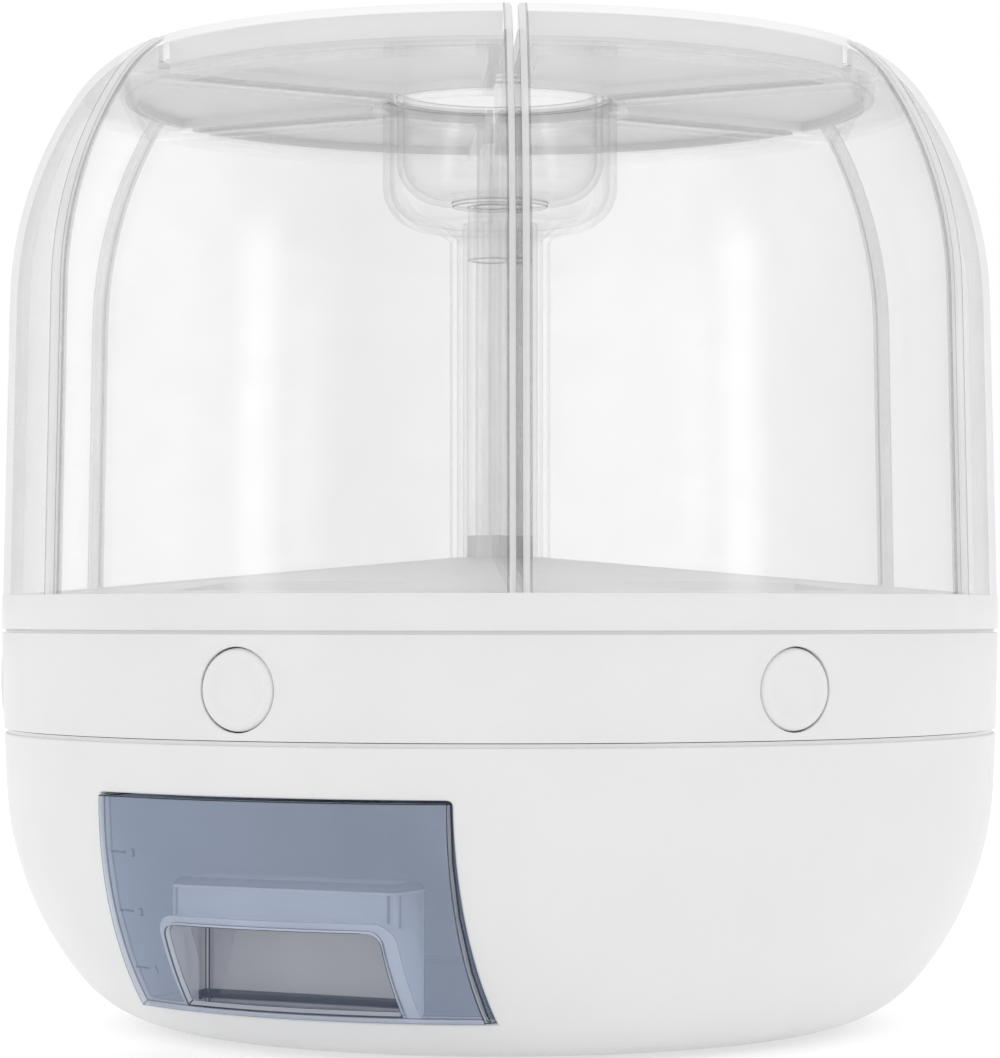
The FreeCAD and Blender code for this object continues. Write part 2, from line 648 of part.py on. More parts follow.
def bin_lid():
    """One fan-shaped lid: recessed plate, outer upstand, plug skirt and a pull tab."""
    side = BIN_GAP + BIN_WALL + LID_GAP
    far = LIP_BORE - LID_GAP
    near = WRAP_RADIUS + BIN_WALL + SKIRT_INSET
    top_z = LID_Z + LID_THICK
    skirt = sector(side + SKIRT_INSET, near, far - SKIRT_INSET, SKIRT_FOOT_Z, LID_Z)
    inset = SKIRT_INSET + LID_WALL
    hollow = sector(side + inset, near + LID_WALL, far - inset, SKIRT_FOOT_Z - 1, LID_Z)
    lid = sector(side, LID_NEAR, far, LID_Z, top_z)
    lid = lid.fuse(sector(side, far - LID_WALL, far, LID_Z, LID_LIP_Z)).fuse(skirt.cut(hollow))
    low, high = TAB_PLACE - TAB_LENGTH / 2, TAB_PLACE + TAB_LENGTH / 2
    tab = outline((low, top_z), (high, top_z), (high - TAB_SLOPE, TAB_TOP_Z), (low + TAB_SLOPE, TAB_TOP_Z))
    tab = moved(tab, 0, -TAB_THICK / 2).extrude(Vector(0, TAB_THICK, 0))
    return lid.fuse(tab).removeSplitter()


def lid_seal():
    """The soft ring round a lid's skirt."""
    side = BIN_GAP + BIN_WALL + LID_GAP
    far = LIP_BORE - LID_GAP
    near = WRAP_RADIUS + BIN_WALL + SKIRT_INSET
    low_z = SKIRT_FOOT_Z + FIT_GAP
    ring = sector(side, near - SKIRT_INSET + SEAL_GAP, far - SEAL_GAP, low_z, LID_Z)
    skirt = sector(side + SKIRT_INSET, near, far - SKIRT_INSET, low_z - 1, LID_Z + 1)
    return ring.cut(skirt).removeSplitter()


# Buttons


def push_button():
    """A round button with a dished face and chamfered edge, and the stem that pushes its gate."""
    front = DRUM_RADIUS + BUTTON_PROUD
    rim = BUTTON_RADIUS - BUTTON_EDGE
    back = OUTLET_FAR + DUCT_WALL + BUTTON_TRAVEL + FIT_GAP + GATE_ARM
    face = outline(
        (back, 0),
        (back, BUTTON_RADIUS),
        (front - BUTTON_EDGE / 2, BUTTON_RADIUS),
        (front, rim),
        (front - BUTTON_DISH, rim / 2),
        (front - BUTTON_DISH, 0),
    )
    cap = face.revolve(CENTRE, Vector(1, 0, 0), 360)
    return moved(cap, 0, 0, BUTTON_Z)


def outlet_gate():
    """The sliding gate: a plate that closes the outlet, two arms past the duct and a front plate."""
    high_z = GATE_Z + GATE_THICK
    front = OUTLET_FAR + DUCT_WALL + BUTTON_TRAVEL + FIT_GAP
    gate = block(GATE_NEAR, OUTLET_FAR + GATE_COVER, -GATE_HALF, GATE_HALF, GATE_Z, high_z)
    for low_y in (-GATE_HALF, GATE_HALF - GATE_ARM):
        gate = gate.fuse(block(OUTLET_FAR, front, low_y, low_y + GATE_ARM, GATE_Z, high_z))
    push = GATE_PUSH_HALF
    gate = gate.fuse(block(front, front + GATE_ARM, -GATE_HALF, GATE_HALF, BUTTON_Z + 3, high_z))
    gate = gate.fuse(block(front, front + GATE_ARM, -push, push, BUTTON_Z - push, BUTTON_Z + 4))
    tab_far = GATE_NEAR + GATE_TAB_THICK
    gate = gate.fuse(block(GATE_NEAR, tab_far, -GATE_TAB_HALF, GATE_TAB_HALF, SPRING_FOOT_Z - 2, GATE_Z))
    return gate.common(rod(DRUM_RADIUS - RING_WALL - FIT_GAP, 0, FAR)).removeSplitter()


def gate_spring():
    """A folded strip spring between the post on the floor and the gate's inner tab."""
    half = SPRING_STRIP / 2
    pitch = (GATE_NEAR - POST_FAR - SPRING_STRIP) / SPRING_FOLDS
    places = [POST_FAR + half + pitch * k for k in range(SPRING_FOLDS + 1)]
    path = [(places[0], -SPRING_SWING)]
    for k, x in enumerate(places):
        path.append((x, -SPRING_SWING if k % 2 else SPRING_SWING))
    path.append((places[-1], -path[-1][1]))
    legs = []
    for (from_x, from_y), (to_x, to_y) in zip(path, path[1:]):
        corners = ((from_x - half, from_y), (from_x + half, from_y), (to_x + half, to_y), (to_x - half, to_y))
        points = [Vector(x, y, SPRING_FOOT_Z) for x, y in corners]
        leg = Part.Face(Part.makePolygon(points + [points[0]]))
        legs.append(leg.extrude(Vector(0, 0, SPRING_HEIGHT)))
    return legs[0].fuse(legs[1:]).removeSplitter()


def all_pieces():
    """Every node's name and shape."""
    pieces = {
        "base_shell": base_shell(),
        "base_deck": base_deck(),
        "drawer_bay": drawer_bay(),
        "glide_pads": glide_pads(),
        "foot_pads": foot_pads(),
        "deck_screws": deck_screws(),
        "bay_screws": bay_screws(),
        "hub_washer": hub_washer(),
        "hub_screw": hub_screw(),
        "measuring_drawer": measuring_drawer(),
        "button_ring": button_ring(),
        "ring_floor": ring_floor(),
        "floor_screws": floor_screws(),
        "bin_tray": bin_tray(),
        "centre_column": centre_column(),
        "centre_cup": centre_cup(),
    }
    repeated = {
        "grain_bin": grain_bin(),
        "bin_lid": bin_lid(),
        "lid_seal": lid_seal(),
        "push_button": push_button(),
        "outlet_gate": outlet_gate(),
        "gate_spring": gate_spring(),
    }
    for name, shape in repeated.items():
        for number, angle in enumerate(bin_angles(), start=1):
            pieces[f"{name}_{number}"] = turned(shape, angle)
    return pieces


def main():
    os.makedirs("parts", exist_ok=True)
    for name, shape in all_pieces().items():
        count = len(shape.Solids)
        print(f"{name}: {count} solid(s), {shape.Volume / 1000:.2f} cm3, valid {shape.isValid()}")
        shape.exportStep(f"parts/{name}.step")


main()
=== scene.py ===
# %% [markdown]
# # Rotating grain dispenser
# Six clear bins stand on a turning drum, over a white bowl with a smoked measuring drawer in its front.
# The CAD model is loaded first, as a frame that stays where it is. This lesson then gives it its looks:
# smooth new meshes for the big round mouldings, finishes for every piece, and soft studio light.

# %% Load the frame
import math

import bmesh
import bpy
from mathutils import Matrix, Vector


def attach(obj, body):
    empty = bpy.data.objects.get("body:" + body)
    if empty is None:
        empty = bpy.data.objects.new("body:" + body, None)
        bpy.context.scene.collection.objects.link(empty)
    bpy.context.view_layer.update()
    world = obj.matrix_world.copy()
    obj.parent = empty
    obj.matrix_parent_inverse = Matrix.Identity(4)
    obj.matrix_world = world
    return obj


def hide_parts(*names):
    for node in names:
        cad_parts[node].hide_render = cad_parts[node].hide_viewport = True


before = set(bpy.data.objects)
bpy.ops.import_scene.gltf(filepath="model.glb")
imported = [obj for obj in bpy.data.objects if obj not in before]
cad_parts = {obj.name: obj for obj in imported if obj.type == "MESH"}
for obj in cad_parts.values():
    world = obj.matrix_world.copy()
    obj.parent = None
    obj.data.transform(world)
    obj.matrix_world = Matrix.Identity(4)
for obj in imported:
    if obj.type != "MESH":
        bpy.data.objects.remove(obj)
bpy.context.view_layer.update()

# %% [markdown]
# ## Sections and rings
# Nearly every piece here is round, so a section is written as (radius, height) points in millimetres
# and then turned about the upright axis. Angles go round from the drawer's side, -Y, towards +X, as in
# the CAD. Round stretches of a section come from one arc function, so that a curve is one formula
# with a step count and no list of points.

# %% Points on arcs and round the axis
MM = 0.001


def arc(centre, radius, start, end, steps):
    """Points along an arc, with both of its ends; the angles are in degrees from +X towards +Y."""
    angles = [math.radians(start + (end - start) * k / steps) for k in range(steps + 1)]
    return [(centre[0] + radius * math.cos(a), centre[1] + radius * math.sin(a)) for a in angles]


def round_axis(radius, degrees, z):
    angle = math.radians(degrees)
    return (radius * math.sin(angle), -radius * math.cos(angle), z)


def between(a, b, share):
    return a + (b - a) * share


print("round the axis at 90 degrees:", [round(value, 1) for value in round_axis(160, 90, 0)])

# %% [markdown]
# ## Meshes from rows
# A moulded shell is easiest to control as rows of points with the same number in each row. Neighbouring
# rows are joined by four-sided faces, which shade smoothly and bevel cleanly. Rows that shrink to one
# point are welded, so a lathe closes at its pole. Points are written in millimetres and scaled once here.

# %% Build a mesh from rows
SHARP_ANGLE = math.radians(32)
WELD_REACH = 0.004 * MM
NO_LENGTH = 0.001 * MM


def tidy_shading(mesh):
    mesh.shade_smooth()
    mesh.set_sharp_from_angle(angle=SHARP_ANGLE)
    return mesh


def make_mesh(name, points, faces, finish_numbers):
    """A mesh in metres, welded, smooth, with its sharp edges kept, and a finish number on each face."""
    mesh = bpy.data.meshes.new(name)
    mesh.from_pydata([[value * MM for value in point] for point in points], [], faces)
    mesh.polygons.foreach_set("material_index", finish_numbers)
    shape = bmesh.new()
    shape.from_mesh(mesh)
    bmesh.ops.remove_doubles(shape, verts=shape.verts, dist=WELD_REACH)
    bmesh.ops.dissolve_degenerate(shape, edges=shape.edges, dist=NO_LENGTH)
    shape.to_mesh(mesh)
    shape.free()
    return tidy_shading(mesh)


def rows_to_mesh(name, rows, round_rows=False, round_sides=False, skip=None, finish=None):
    """Rows of points joined by faces. Both directions can close, and skip(row, column) leaves a hole."""
    width = len(rows[0])
    points = [point for row in rows for point in row]
    faces, finish_numbers = [], []
    for row in range(len(rows) if round_sides else len(rows) - 1):
        above = (row + 1) % len(rows)
        for column in range(width if round_rows else width - 1):
            if skip and skip(row, column):
                continue
            beside = (column + 1) % width
            low, high = row * width, above * width
            faces.append([low + column, low + beside, high + beside, high + column])
            finish_numbers.append(finish(row, column) if finish else 0)
    return make_mesh(name, points, faces, finish_numbers)


print("edges sharper than", round(math.degrees(SHARP_ANGLE)), "degrees stay sharp")

# %% [markdown]
# ## Pieces on bodies
# The real dispenser turns, slides and lifts, so each new piece is an object that rides on one body of the
# frame and moves with it. It also takes its finishes, and may stand for CAD nodes, which it then hides.
# Objects could be turned into place one by one. Here the turn is worked into a copy of the mesh instead,
# so that the object's box lies along the world's axes and gives its true size.

# %% Put a piece on its body
def make_piece(name, mesh, material, body, stands_for=(), place=None):
    """A named object on a body. Of several finishes, the first is for all that nothing else is said of."""
    if place is not None:
        mesh = mesh.copy()
        mesh.transform(place)
    piece = bpy.data.objects.new(name, mesh)
    bpy.context.scene.collection.objects.link(piece)
    # Clearing the finishes also forgets which face has which one, so those numbers are put back after.
    face_finishes = [face.material_index for face in mesh.polygons]
    mesh.materials.clear()
    for finish in material if isinstance(material, tuple) else (material,):
        mesh.materials.append(finish)
    mesh.polygons.foreach_set("material_index", face_finishes)
    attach(piece, body)
    if stands_for:
        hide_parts(*stands_for)
    return piece


# %% [markdown]
# ## Walls and rounded edges
# Moulded plastic has an even wall and no knife edges. Both could be modelled by hand, but a modifier is a
# step that can be looked at and changed later: Solidify gives a sheet its wall, and Bevel rounds the edges
# that catch the light. A second finish goes on the rounded edges as painted shade, and a third on a wall's
# narrow sides as painted light, paler than the wall.

# %% Give walls and round edges
# Finish 1 on rounded edges is painted shade and finish 2 on narrow sides is painted light, where a piece has
# them.
EDGE_FINISH = 1
RIM_FINISH = 2
CAD_WELD = 0.002 * MM


def give_wall(piece, wall):
    """A wall on the inner side of the sheet."""
    solidify = piece.modifiers.new("wall", "SOLIDIFY")
    solidify.thickness = wall * MM
    solidify.offset = -1
    solidify.use_even_offset = True
    if len(piece.data.materials) > RIM_FINISH:
        solidify.material_offset_rim = RIM_FINISH
    return solidify


def round_edges(piece, width, segments=2, weld=False):
    """Small rounded edges. CAD faces come apart at their borders, so their vertices are welded first."""
    if weld:
        piece.modifiers.new("weld", "WELD").merge_threshold = CAD_WELD
    bevel = piece.modifiers.new("rounded edges", "BEVEL")
    bevel.width = width * MM
    bevel.segments = segments
    bevel.limit_method = "ANGLE"
    bevel.angle_limit = SHARP_ANGLE
    bevel.harden_normals = True
    if len(piece.data.materials) > EDGE_FINISH:
        bevel.material = EDGE_FINISH
    return bevel


print("finish", EDGE_FINISH, "is for rounded edges and finish", RIM_FINISH, "for a wall's narrow sides")

# %% [markdown]
# ## The parts of a finish
# No moulding has one even colour and gloss: it has faint clouds and a fine skin. A photograph of plastic
# could be wrapped round a piece, but it would stretch and repeat. Noise is worked out at every point in
# the piece's own coordinates, so it fits any shape. A few small functions make the nodes, and every
# finish is then put together from them.

# %% Nodes for clouds, colours and relief
RELIEF_HEIGHT = 0.00004


def grey(value):
    return (value, value, value)


def new_finish(name):
    """An empty material with its nodes, its links and its output."""
    finish = bpy.data.materials.new(name)
    finish.use_nodes = True
    nodes = finish.node_tree.nodes
    nodes.clear()
    return finish, nodes, finish.node_tree.links, nodes.new("ShaderNodeOutputMaterial")


def cloudiness(nodes, links, size, low, high, detail=3.0):
    """Noise whose clouds have that size in metres, as a number between low and high."""
    place = nodes.new("ShaderNodeTexCoord")
    noise = nodes.new("ShaderNodeTexNoise")
    noise.inputs["Scale"].default_value = 1 / size
    noise.inputs["Detail"].default_value = detail
    links.new(place.outputs["Object"], noise.inputs["Vector"])
    spread = nodes.new("ShaderNodeMapRange")
    spread.inputs["From Min"].default_value = 0.3
    spread.inputs["From Max"].default_value = 0.7
    spread.inputs["To Min"].default_value = low
    spread.inputs["To Max"].default_value = high
    links.new(noise.outputs["Fac"], spread.inputs["Value"])
    return spread.outputs["Result"]


def colour_between(nodes, links, amount, first, second):
    """A colour that goes from the first to the second with the amount."""
    mix = nodes.new("ShaderNodeMix")
    mix.data_type = "RGBA"
    links.new(amount, mix.inputs["Factor"])
    mix.inputs["A"].default_value = (*first, 1)
    mix.inputs["B"].default_value = (*second, 1)
    return mix.outputs["Result"]


def fine_relief(nodes, links, size, detail=2.0):
    """A bump from noise, as the normal that a shader takes."""
    bump = nodes.new("ShaderNodeBump")
    bump.inputs["Distance"].default_value = RELIEF_HEIGHT
    bump.inputs["Strength"].default_value = 0.3
    links.new(cloudiness(nodes, links, size, 0, 1, detail), bump.inputs["Height"])
    return bump.outputs["Normal"]


print("the relief is", RELIEF_HEIGHT / MM, "mm high")

# %% [markdown]
# ## White moulded plastic
# The bowl, the ring, the lids and the buttons are satin white plastic. A single flat colour looks like
# paper, so three faint textures work together: cloudy differences in colour, in gloss, and in height.
# All of them are weak enough to be felt and not seen.

# %% White plastic
def moulded(name, first, second, roughness, grain=0.0009, metallic=0.0):
    """An opaque moulded or pressed finish with faint clouds in colour, gloss and height."""
    finish, nodes, links, output = new_finish(name)
    shader = nodes.new("ShaderNodeBsdfPrincipled")
    shader.inputs["Metallic"].default_value = metallic
    clouds = cloudiness(nodes, links, 0.03, 0, 1)
    links.new(colour_between(nodes, links, clouds, first, second), shader.inputs["Base Color"])
    links.new(cloudiness(nodes, links, 0.012, *roughness), shader.inputs["Roughness"])
    links.new(fine_relief(nodes, links, grain), shader.inputs["Normal"])
    links.new(shader.outputs["BSDF"], output.inputs["Surface"])
    return finish


white_plastic = moulded("white moulded plastic", grey(0.85), grey(0.87), (0.30, 0.40))
print("made", white_plastic.name)

# %% [markdown]
# ## Blend shaders
# A clear wall does several things to light at once, so its finish blends simple shaders. Two helpers
# make the nodes for sums and for blends, and a third gives the faint milkiness that a plastic has when it
# isn't quite clear.

# %% Sums, blends and milkiness
LIT_FROM_BEHIND = 0.4


def math_node(nodes, links, operation, *values):
    """A Math node; each of its inputs is a number or a link."""
    step = nodes.new("ShaderNodeMath")
    step.operation = operation
    for socket, value in zip(step.inputs, values):
        if isinstance(value, (int, float)):
            socket.default_value = value
        else:
            links.new(value, socket)
    return step.outputs["Value"]


def mixed(nodes, links, share, first, second):
    """A blend of two shaders; the share of the second is a number or a link."""
    mix = nodes.new("ShaderNodeMixShader")
    if isinstance(share, float):
        mix.inputs["Fac"].default_value = share
    else:
        links.new(share, mix.inputs["Fac"])
    links.new(first, mix.inputs[1])
    links.new(second, mix.inputs[2])
    return mix.outputs["Shader"]


def milkiness(nodes, links, colour):
    """The faint body colour of a plastic that isn't quite clear, lit from both of its sides."""
    front = nodes.new("ShaderNodeBsdfDiffuse")
    back = nodes.new("ShaderNodeBsdfTranslucent")
    patches = cloudiness(nodes, links, 0.03, 0, 1, detail=1.0)
    shades = colour_between(nodes, links, patches, colour, [channel * 0.93 for channel in colour])
    for side in (front, back):
        links.new(shades, side.inputs["Color"])
    return mixed(nodes, links, LIT_FROM_BEHIND, front.outputs["BSDF"], back.outputs["BSDF"])


print("milkiness takes", LIT_FROM_BEHIND, "of its light from behind")

# %% [markdown]
# ## Clear plastic
# Clear plastic shows as edges, soft highlights and a slight grey where many walls lie behind each other.
# Real glass nodes bend light at every wall and are slow with a dozen walls in line. Thin walls hardly bend
# it, so each surface here lets light through with a slight tint that deepens where it is seen edge-on,
# and mirrors a little of the room, more at a glancing angle. Shadow rays take a plain tint instead,
# which keeps the render quick. A rounded corner of a thick clear wall works as a lens: pale in its middle,
# dark at its borders. Two more finishes paint that in: painted shade for the edges and the corners'
# borders, and a painted highlight for the corners' middles. A third is for side walls, which turn dark
# only when one looks straight along them.

# %% Clear plastic
HEAD_ON_MIRROR = 0.035


def see_through(name, tint, edge_tint, edge_power, shadow, milk=None, milk_share=0.0, glance=0.55):
    """A thin clear wall: a tint that deepens towards its edges, perhaps some milkiness, under a gloss."""
    finish, nodes, links, output = new_finish(name)
    angle = nodes.new("ShaderNodeLayerWeight")
    angle.inputs["Blend"].default_value = 0.5
    edge_on = math_node(nodes, links, "POWER", angle.outputs["Facing"], edge_power)
    glancing = math_node(nodes, links, "POWER", angle.outputs["Facing"], 5)

    clear = nodes.new("ShaderNodeBsdfTransparent")
    links.new(colour_between(nodes, links, edge_on, tint, edge_tint), clear.inputs["Color"])
    inside = clear.outputs["BSDF"]
    # The milk colour is a plastic's body colour; in the edge finishes it is painted shade, in the corner
    # finishes a painted highlight, in the paler smoked finish painted light, and in the marks' finish also a
    # painted shadow.
    if milk:
        inside = mixed(nodes, links, milk_share, inside, milkiness(nodes, links, milk))

    shine = nodes.new("ShaderNodeBsdfAnisotropic")
    shine.inputs["Roughness"].default_value = 0.0
    links.new(fine_relief(nodes, links, 0.02, detail=0.0), shine.inputs["Normal"])
    clouds = cloudiness(nodes, links, 0.015, 0, 1, detail=0.0)
    links.new(colour_between(nodes, links, clouds, grey(1), grey(0.94)), shine.inputs["Color"])
    mirror = math_node(nodes, links, "MULTIPLY_ADD", glancing, glance, HEAD_ON_MIRROR)
    seen = mixed(nodes, links, mirror, inside, shine.outputs["BSDF"])

    shade = nodes.new("ShaderNodeBsdfTransparent")
    shade.inputs["Color"].default_value = (*shadow, 1)
    rays = nodes.new("ShaderNodeLightPath")
    both = mixed(nodes, links, rays.outputs["Is Shadow Ray"], seen, shade.outputs["BSDF"])
    links.new(both, output.inputs["Surface"])
    return finish


CLEAR_SHADOW = grey(0.998)
# PALE is a painted highlight colour for the lit middles of rounded corners.
PALE = grey(0.96)
clear_plastic = see_through("clear plastic", grey(0.984), grey(0.83), 4.0, CLEAR_SHADOW)
clear_side = see_through("clear plastic sides", grey(0.984), grey(0.40), 16.0, CLEAR_SHADOW)
# Painted shade: a dark tint for rounded edges, corner borders and rim tops, where a clear edge shows a dark
# line.
clear_edge_painted_shade = see_through("clear plastic edges painted shade", grey(0.70), grey(0.50), 2.0, CLEAR_SHADOW, glance=0.1)
# Painted highlight: a pale milky finish for the middle of each rounded corner on the bins.
clear_painted_highlight = see_through("clear plastic corners painted highlight", grey(0.99), PALE, 4.0, CLEAR_SHADOW, PALE, 0.8)
print("made", clear_plastic.name, "with its sides, edges and corners")

# %% [markdown]
# ## Smoked plastic
# The drawer's plastic is coloured all through, so it needs the same wall with a blue-grey tint and some
# body colour of its own. Where the moulding has an edge, the eye looks through much more of it, and a
# rounded edge shows a dark line, so rounded edges get a second, nearly black finish: partly that longer
# path, partly painted shade. The finger pocket, the collar and the walls' narrow sides get a paler copy,
# painted light for faces that catch more light, and the pocket has painted highlights down its corners.

# %% Smoked plastic and its edges
SMOKE_SHADOW = (0.985, 0.99, 0.995)


def smoke(name, tint, edge_tint, milk, milk_share, edge_power=4.0, glance=0.55):
    return see_through(name, tint, edge_tint, edge_power, SMOKE_SHADOW, milk, milk_share, glance)


smoke_plastic = smoke("smoked plastic", (0.93, 0.945, 0.965), (0.62, 0.66, 0.74), (0.69, 0.80, 1.0), 0.28)
# Painted light: a paler copy of the smoked plastic for the pocket, the collar and the walls' narrow sides,
# which catch more light.
smoke_painted_light = smoke("smoked plastic painted lighter", (0.95, 0.955, 0.97), (0.62, 0.66, 0.74), (0.93, 0.94, 0.98), 0.58)
# Painted highlight: pale lines down the pocket's corners and along its roof's front.
smoke_painted_highlight = smoke("smoked plastic painted highlight", (0.95, 0.96, 0.98), (0.80, 0.82, 0.86), PALE, 0.75)
# The marks are the moulded graduations; the same finish is a painted shadow band at the pocket's foot.
smoke_marks_and_painted_shadow = smoke("smoked plastic marks and painted shadow", (0.80, 0.82, 0.86), (0.56, 0.58, 0.64), (0.32, 0.36, 0.44), 0.35)
# Painted shade, partly real: the dark line along rounded edges, where the eye also looks through more
# plastic.
smoke_edge_painted_shade = smoke(
    "smoked plastic edges painted shade",
    (0.40, 0.42, 0.48),
    (0.20, 0.22, 0.28),
    (0.03, 0.035, 0.05),
    0.5,
    edge_power=2.0,
    glance=0.04,
)
# The smoked set: the plastic, painted shade for rounded edges, painted light for narrow sides.
smoked = (smoke_plastic, smoke_edge_painted_shade, smoke_painted_light)
print("made", smoke_plastic.name, "and", smoke_edge_painted_shade.name)

# %% [markdown]
# ## The plain finishes
# The lids get a brighter copy of the white, painted light for lids that are lit only dimly through the
# clear bins. The hidden parts still need real materials, because they show when the drawer, a lid or the
# cup is moved: pale silicone seals, grey rubber feet, slippery cream guides and steel screws. They use the
# same moulded recipe with other colours, gloss and relief.

# %% Silicone, rubber, guides and steel
# Painted light: a brighter copy of the white plastic for the lids, which are lit only dimly through the bins.
lid_white_painted_light = moulded("white moulded plastic painted brighter", grey(0.92), grey(0.94), (0.30, 0.40))
silicone = moulded("soft silicone", grey(0.80), grey(0.84), (0.50, 0.62), grain=0.0015)
rubber = moulded("rubber", grey(0.52), grey(0.57), (0.65, 0.80), grain=0.0007)
slick_plastic = moulded("slick plastic", (0.74, 0.73, 0.69), (0.78, 0.77, 0.74), (0.28, 0.36))
steel = moulded("zinc-plated steel", (0.55, 0.55, 0.56), (0.66, 0.66, 0.67), (0.25, 0.42), metallic=1.0)
finishes = {
    "white_plastic": white_plastic,
    "clear_plastic": clear_plastic,
    "smoke_plastic": smoke_plastic,
    "silicone": silicone,
    "rubber": rubber,
    "slick_plastic": slick_plastic,
    "steel": steel,
}
print(len(finishes), "finishes")

# %% [markdown]
# ## Finish the CAD nodes
# Each CAD node already knows its material slot from the record. The node keeps its mesh, and only gets a
# finish, a weld and small rounded edges, so that its rims catch the light as a moulded part's do.

# %% Dress the CAD nodes
SLOT_OF = {
    "white_plastic": [
        "base_shell", "base_deck", "drawer_bay", "button_ring", "ring_floor",
        "bin_tray", "bin_lid", "push_button", "outlet_gate",
    ],
    "clear_plastic": ["centre_column", "centre_cup", "grain_bin"],
    "smoke_plastic": ["measuring_drawer"],
    "silicone": ["lid_seal"],
    "rubber": ["foot_pads"],
    "slick_plastic": ["glide_pads"],
    "steel": ["deck_screws", "bay_screws", "hub_washer", "hub_screw", "floor_screws", "gate_spring"],
}
BEVELLED = {"button_ring": 0.9, "bin_tray": 0.8, "bin_lid": 0.35, "centre_column": 0.3, "base_deck": 0.3}

for slot, starts in SLOT_OF.items():
    for name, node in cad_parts.items():
        family = name.rstrip("0123456789").rstrip("_")
        if family not in starts:
            continue
        node.data.materials.clear()
        node.data.materials.append(lid_white_painted_light if family == "bin_lid" else finishes[slot])
        if family in BEVELLED:
            round_edges(node, BEVELLED[family], weld=True)
            tidy_shading(node.data)
unfinished = [name for name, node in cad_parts.items() if not node.data.materials]
print("nodes without a finish:", unfinished)

# %% [markdown]
# ## The bowl's outline
# The bowl is one deep white moulding: a slightly leaning rim, a long side curve and a tighter foot curve
# down to a flat bottom. The three stretches meet without a corner, so each next arc's centre is worked out
# from the point where the one before ends. A function of height gives the radius, because the window in
# the front needs rows at exact heights.

# %% The bowl's radius at each height
BOWL_FLOOR_Z = 1.1
BOWL_TOP = (159.3, 93.9)
BOWL_SLOPE = 2.42
BOWL_STRAIGHT_Z = 77.8
BOWL_SIDE_RADIUS = 103.7
BOWL_SIDE_END = 39.2
BOWL_WALL = 2.8


def centre_from(point, radius, degrees):
    """The centre of the arc that passes the point, where its normal points at the given angle."""
    angle = math.radians(degrees)
    return (point[0] - radius * math.cos(angle), point[1] - radius * math.sin(angle))


lean = math.tan(math.radians(BOWL_SLOPE))
bowl_turn = (BOWL_TOP[0] - (BOWL_TOP[1] - BOWL_STRAIGHT_Z) * lean, BOWL_STRAIGHT_Z)
bowl_side_centre = centre_from(bowl_turn, BOWL_SIDE_RADIUS, -BOWL_SLOPE)
bowl_low_turn = arc(bowl_side_centre, BOWL_SIDE_RADIUS, 0, -BOWL_SIDE_END, 1)[-1]
bowl_foot_radius = (bowl_low_turn[1] - BOWL_FLOOR_Z) / (1 - math.sin(math.radians(BOWL_SIDE_END)))
bowl_foot_centre = centre_from(bowl_low_turn, bowl_foot_radius, -BOWL_SIDE_END)


def bowl_radius(z):
    if z >= BOWL_STRAIGHT_Z:
        return BOWL_TOP[0] - (BOWL_TOP[1] - z) * lean
    centre, radius = bowl_side_centre, BOWL_SIDE_RADIUS
    if z < bowl_low_turn[1]:
        centre, radius = bowl_foot_centre, bowl_foot_radius
    return centre[0] + math.sqrt(max(0.0, radius**2 - (z - centre[1]) ** 2))


print("the bowl's radius at 20, 50 and 90 mm:", [round(bowl_radius(z), 1) for z in (20, 50, 90)])

# %% [markdown]
# ## The bowl with its window
# The drawer's window could be cut with a Boolean, which leaves slivers along the cut and poor bevels.
# Here the columns of the mesh follow the window's own border instead: some columns always lie in front
# of it and the rest behind, at every height. Leaving out the front faces between two heights opens a clean
# window, Solidify gives the wall, and Bevel rounds the rim and the window's border.

# %% Build the bowl
DRAWER_HALF = 57.6
DRAWER_FLOOR_Z = 14.1
DRAWER_TOP_Z = 78.4
DRAWER_GAP = 0.8
WINDOW_HALF = DRAWER_HALF + DRAWER_GAP
WINDOW_LOW_Z = DRAWER_FLOOR_Z - DRAWER_GAP
WINDOW_HIGH_Z = DRAWER_TOP_Z + DRAWER_GAP
WINDOW_CORNER = 1.6
FRONT_COLUMNS = 24
BACK_COLUMNS = 132
BOWL_BEND_Z = 87.0
TOUCH = 0.01


def opening_half(z, half, high_z, corner):
    """Half of an opening's width at a height, narrowed where its upper corners are rounded."""
    into = z - (high_z - corner)
    if into <= 0:
        return half
    return half - corner + math.sqrt(max(0.0, corner**2 - min(into, corner) ** 2))


def bowl_row(z, radius=None):
    """One row of the bowl, starting at the window's left border."""
    inside = min(max(z, WINDOW_LOW_Z), WINDOW_HIGH_Z)
    half = opening_half(inside, WINDOW_HALF, WINDOW_HIGH_Z, WINDOW_CORNER)
    side = math.degrees(math.asin(half / bowl_radius(inside)))
    angles = [between(-side, side, k / FRONT_COLUMNS) for k in range(FRONT_COLUMNS)]
    angles += [between(side, 360 - side, k / BACK_COLUMNS) for k in range(BACK_COLUMNS)]
    width = bowl_radius(z) if radius is None else radius
    return [round_axis(width, angle, z) for angle in angles]


foot_heights = [z for _, z in arc(bowl_foot_centre, bowl_foot_radius, -90, -BOWL_SIDE_END, 10)]
side_heights = [z for _, z in arc(bowl_side_centre, BOWL_SIDE_RADIUS, -BOWL_SIDE_END, -BOWL_SLOPE, 16)]
corner_heights = [WINDOW_HIGH_Z - WINDOW_CORNER * (1 - k / 4) ** 2 for k in range(5)]
all_heights = [*foot_heights, *side_heights, *corner_heights, WINDOW_LOW_Z, BOWL_BEND_Z, BOWL_TOP[1]]
heights = sorted({round(z, 3) for z in all_heights})
bowl_rows = [bowl_row(BOWL_FLOOR_Z, radius) for radius in (0.0, 30.0, 70.0)] + [bowl_row(z) for z in heights]
row_heights = [BOWL_FLOOR_Z] * 3 + heights


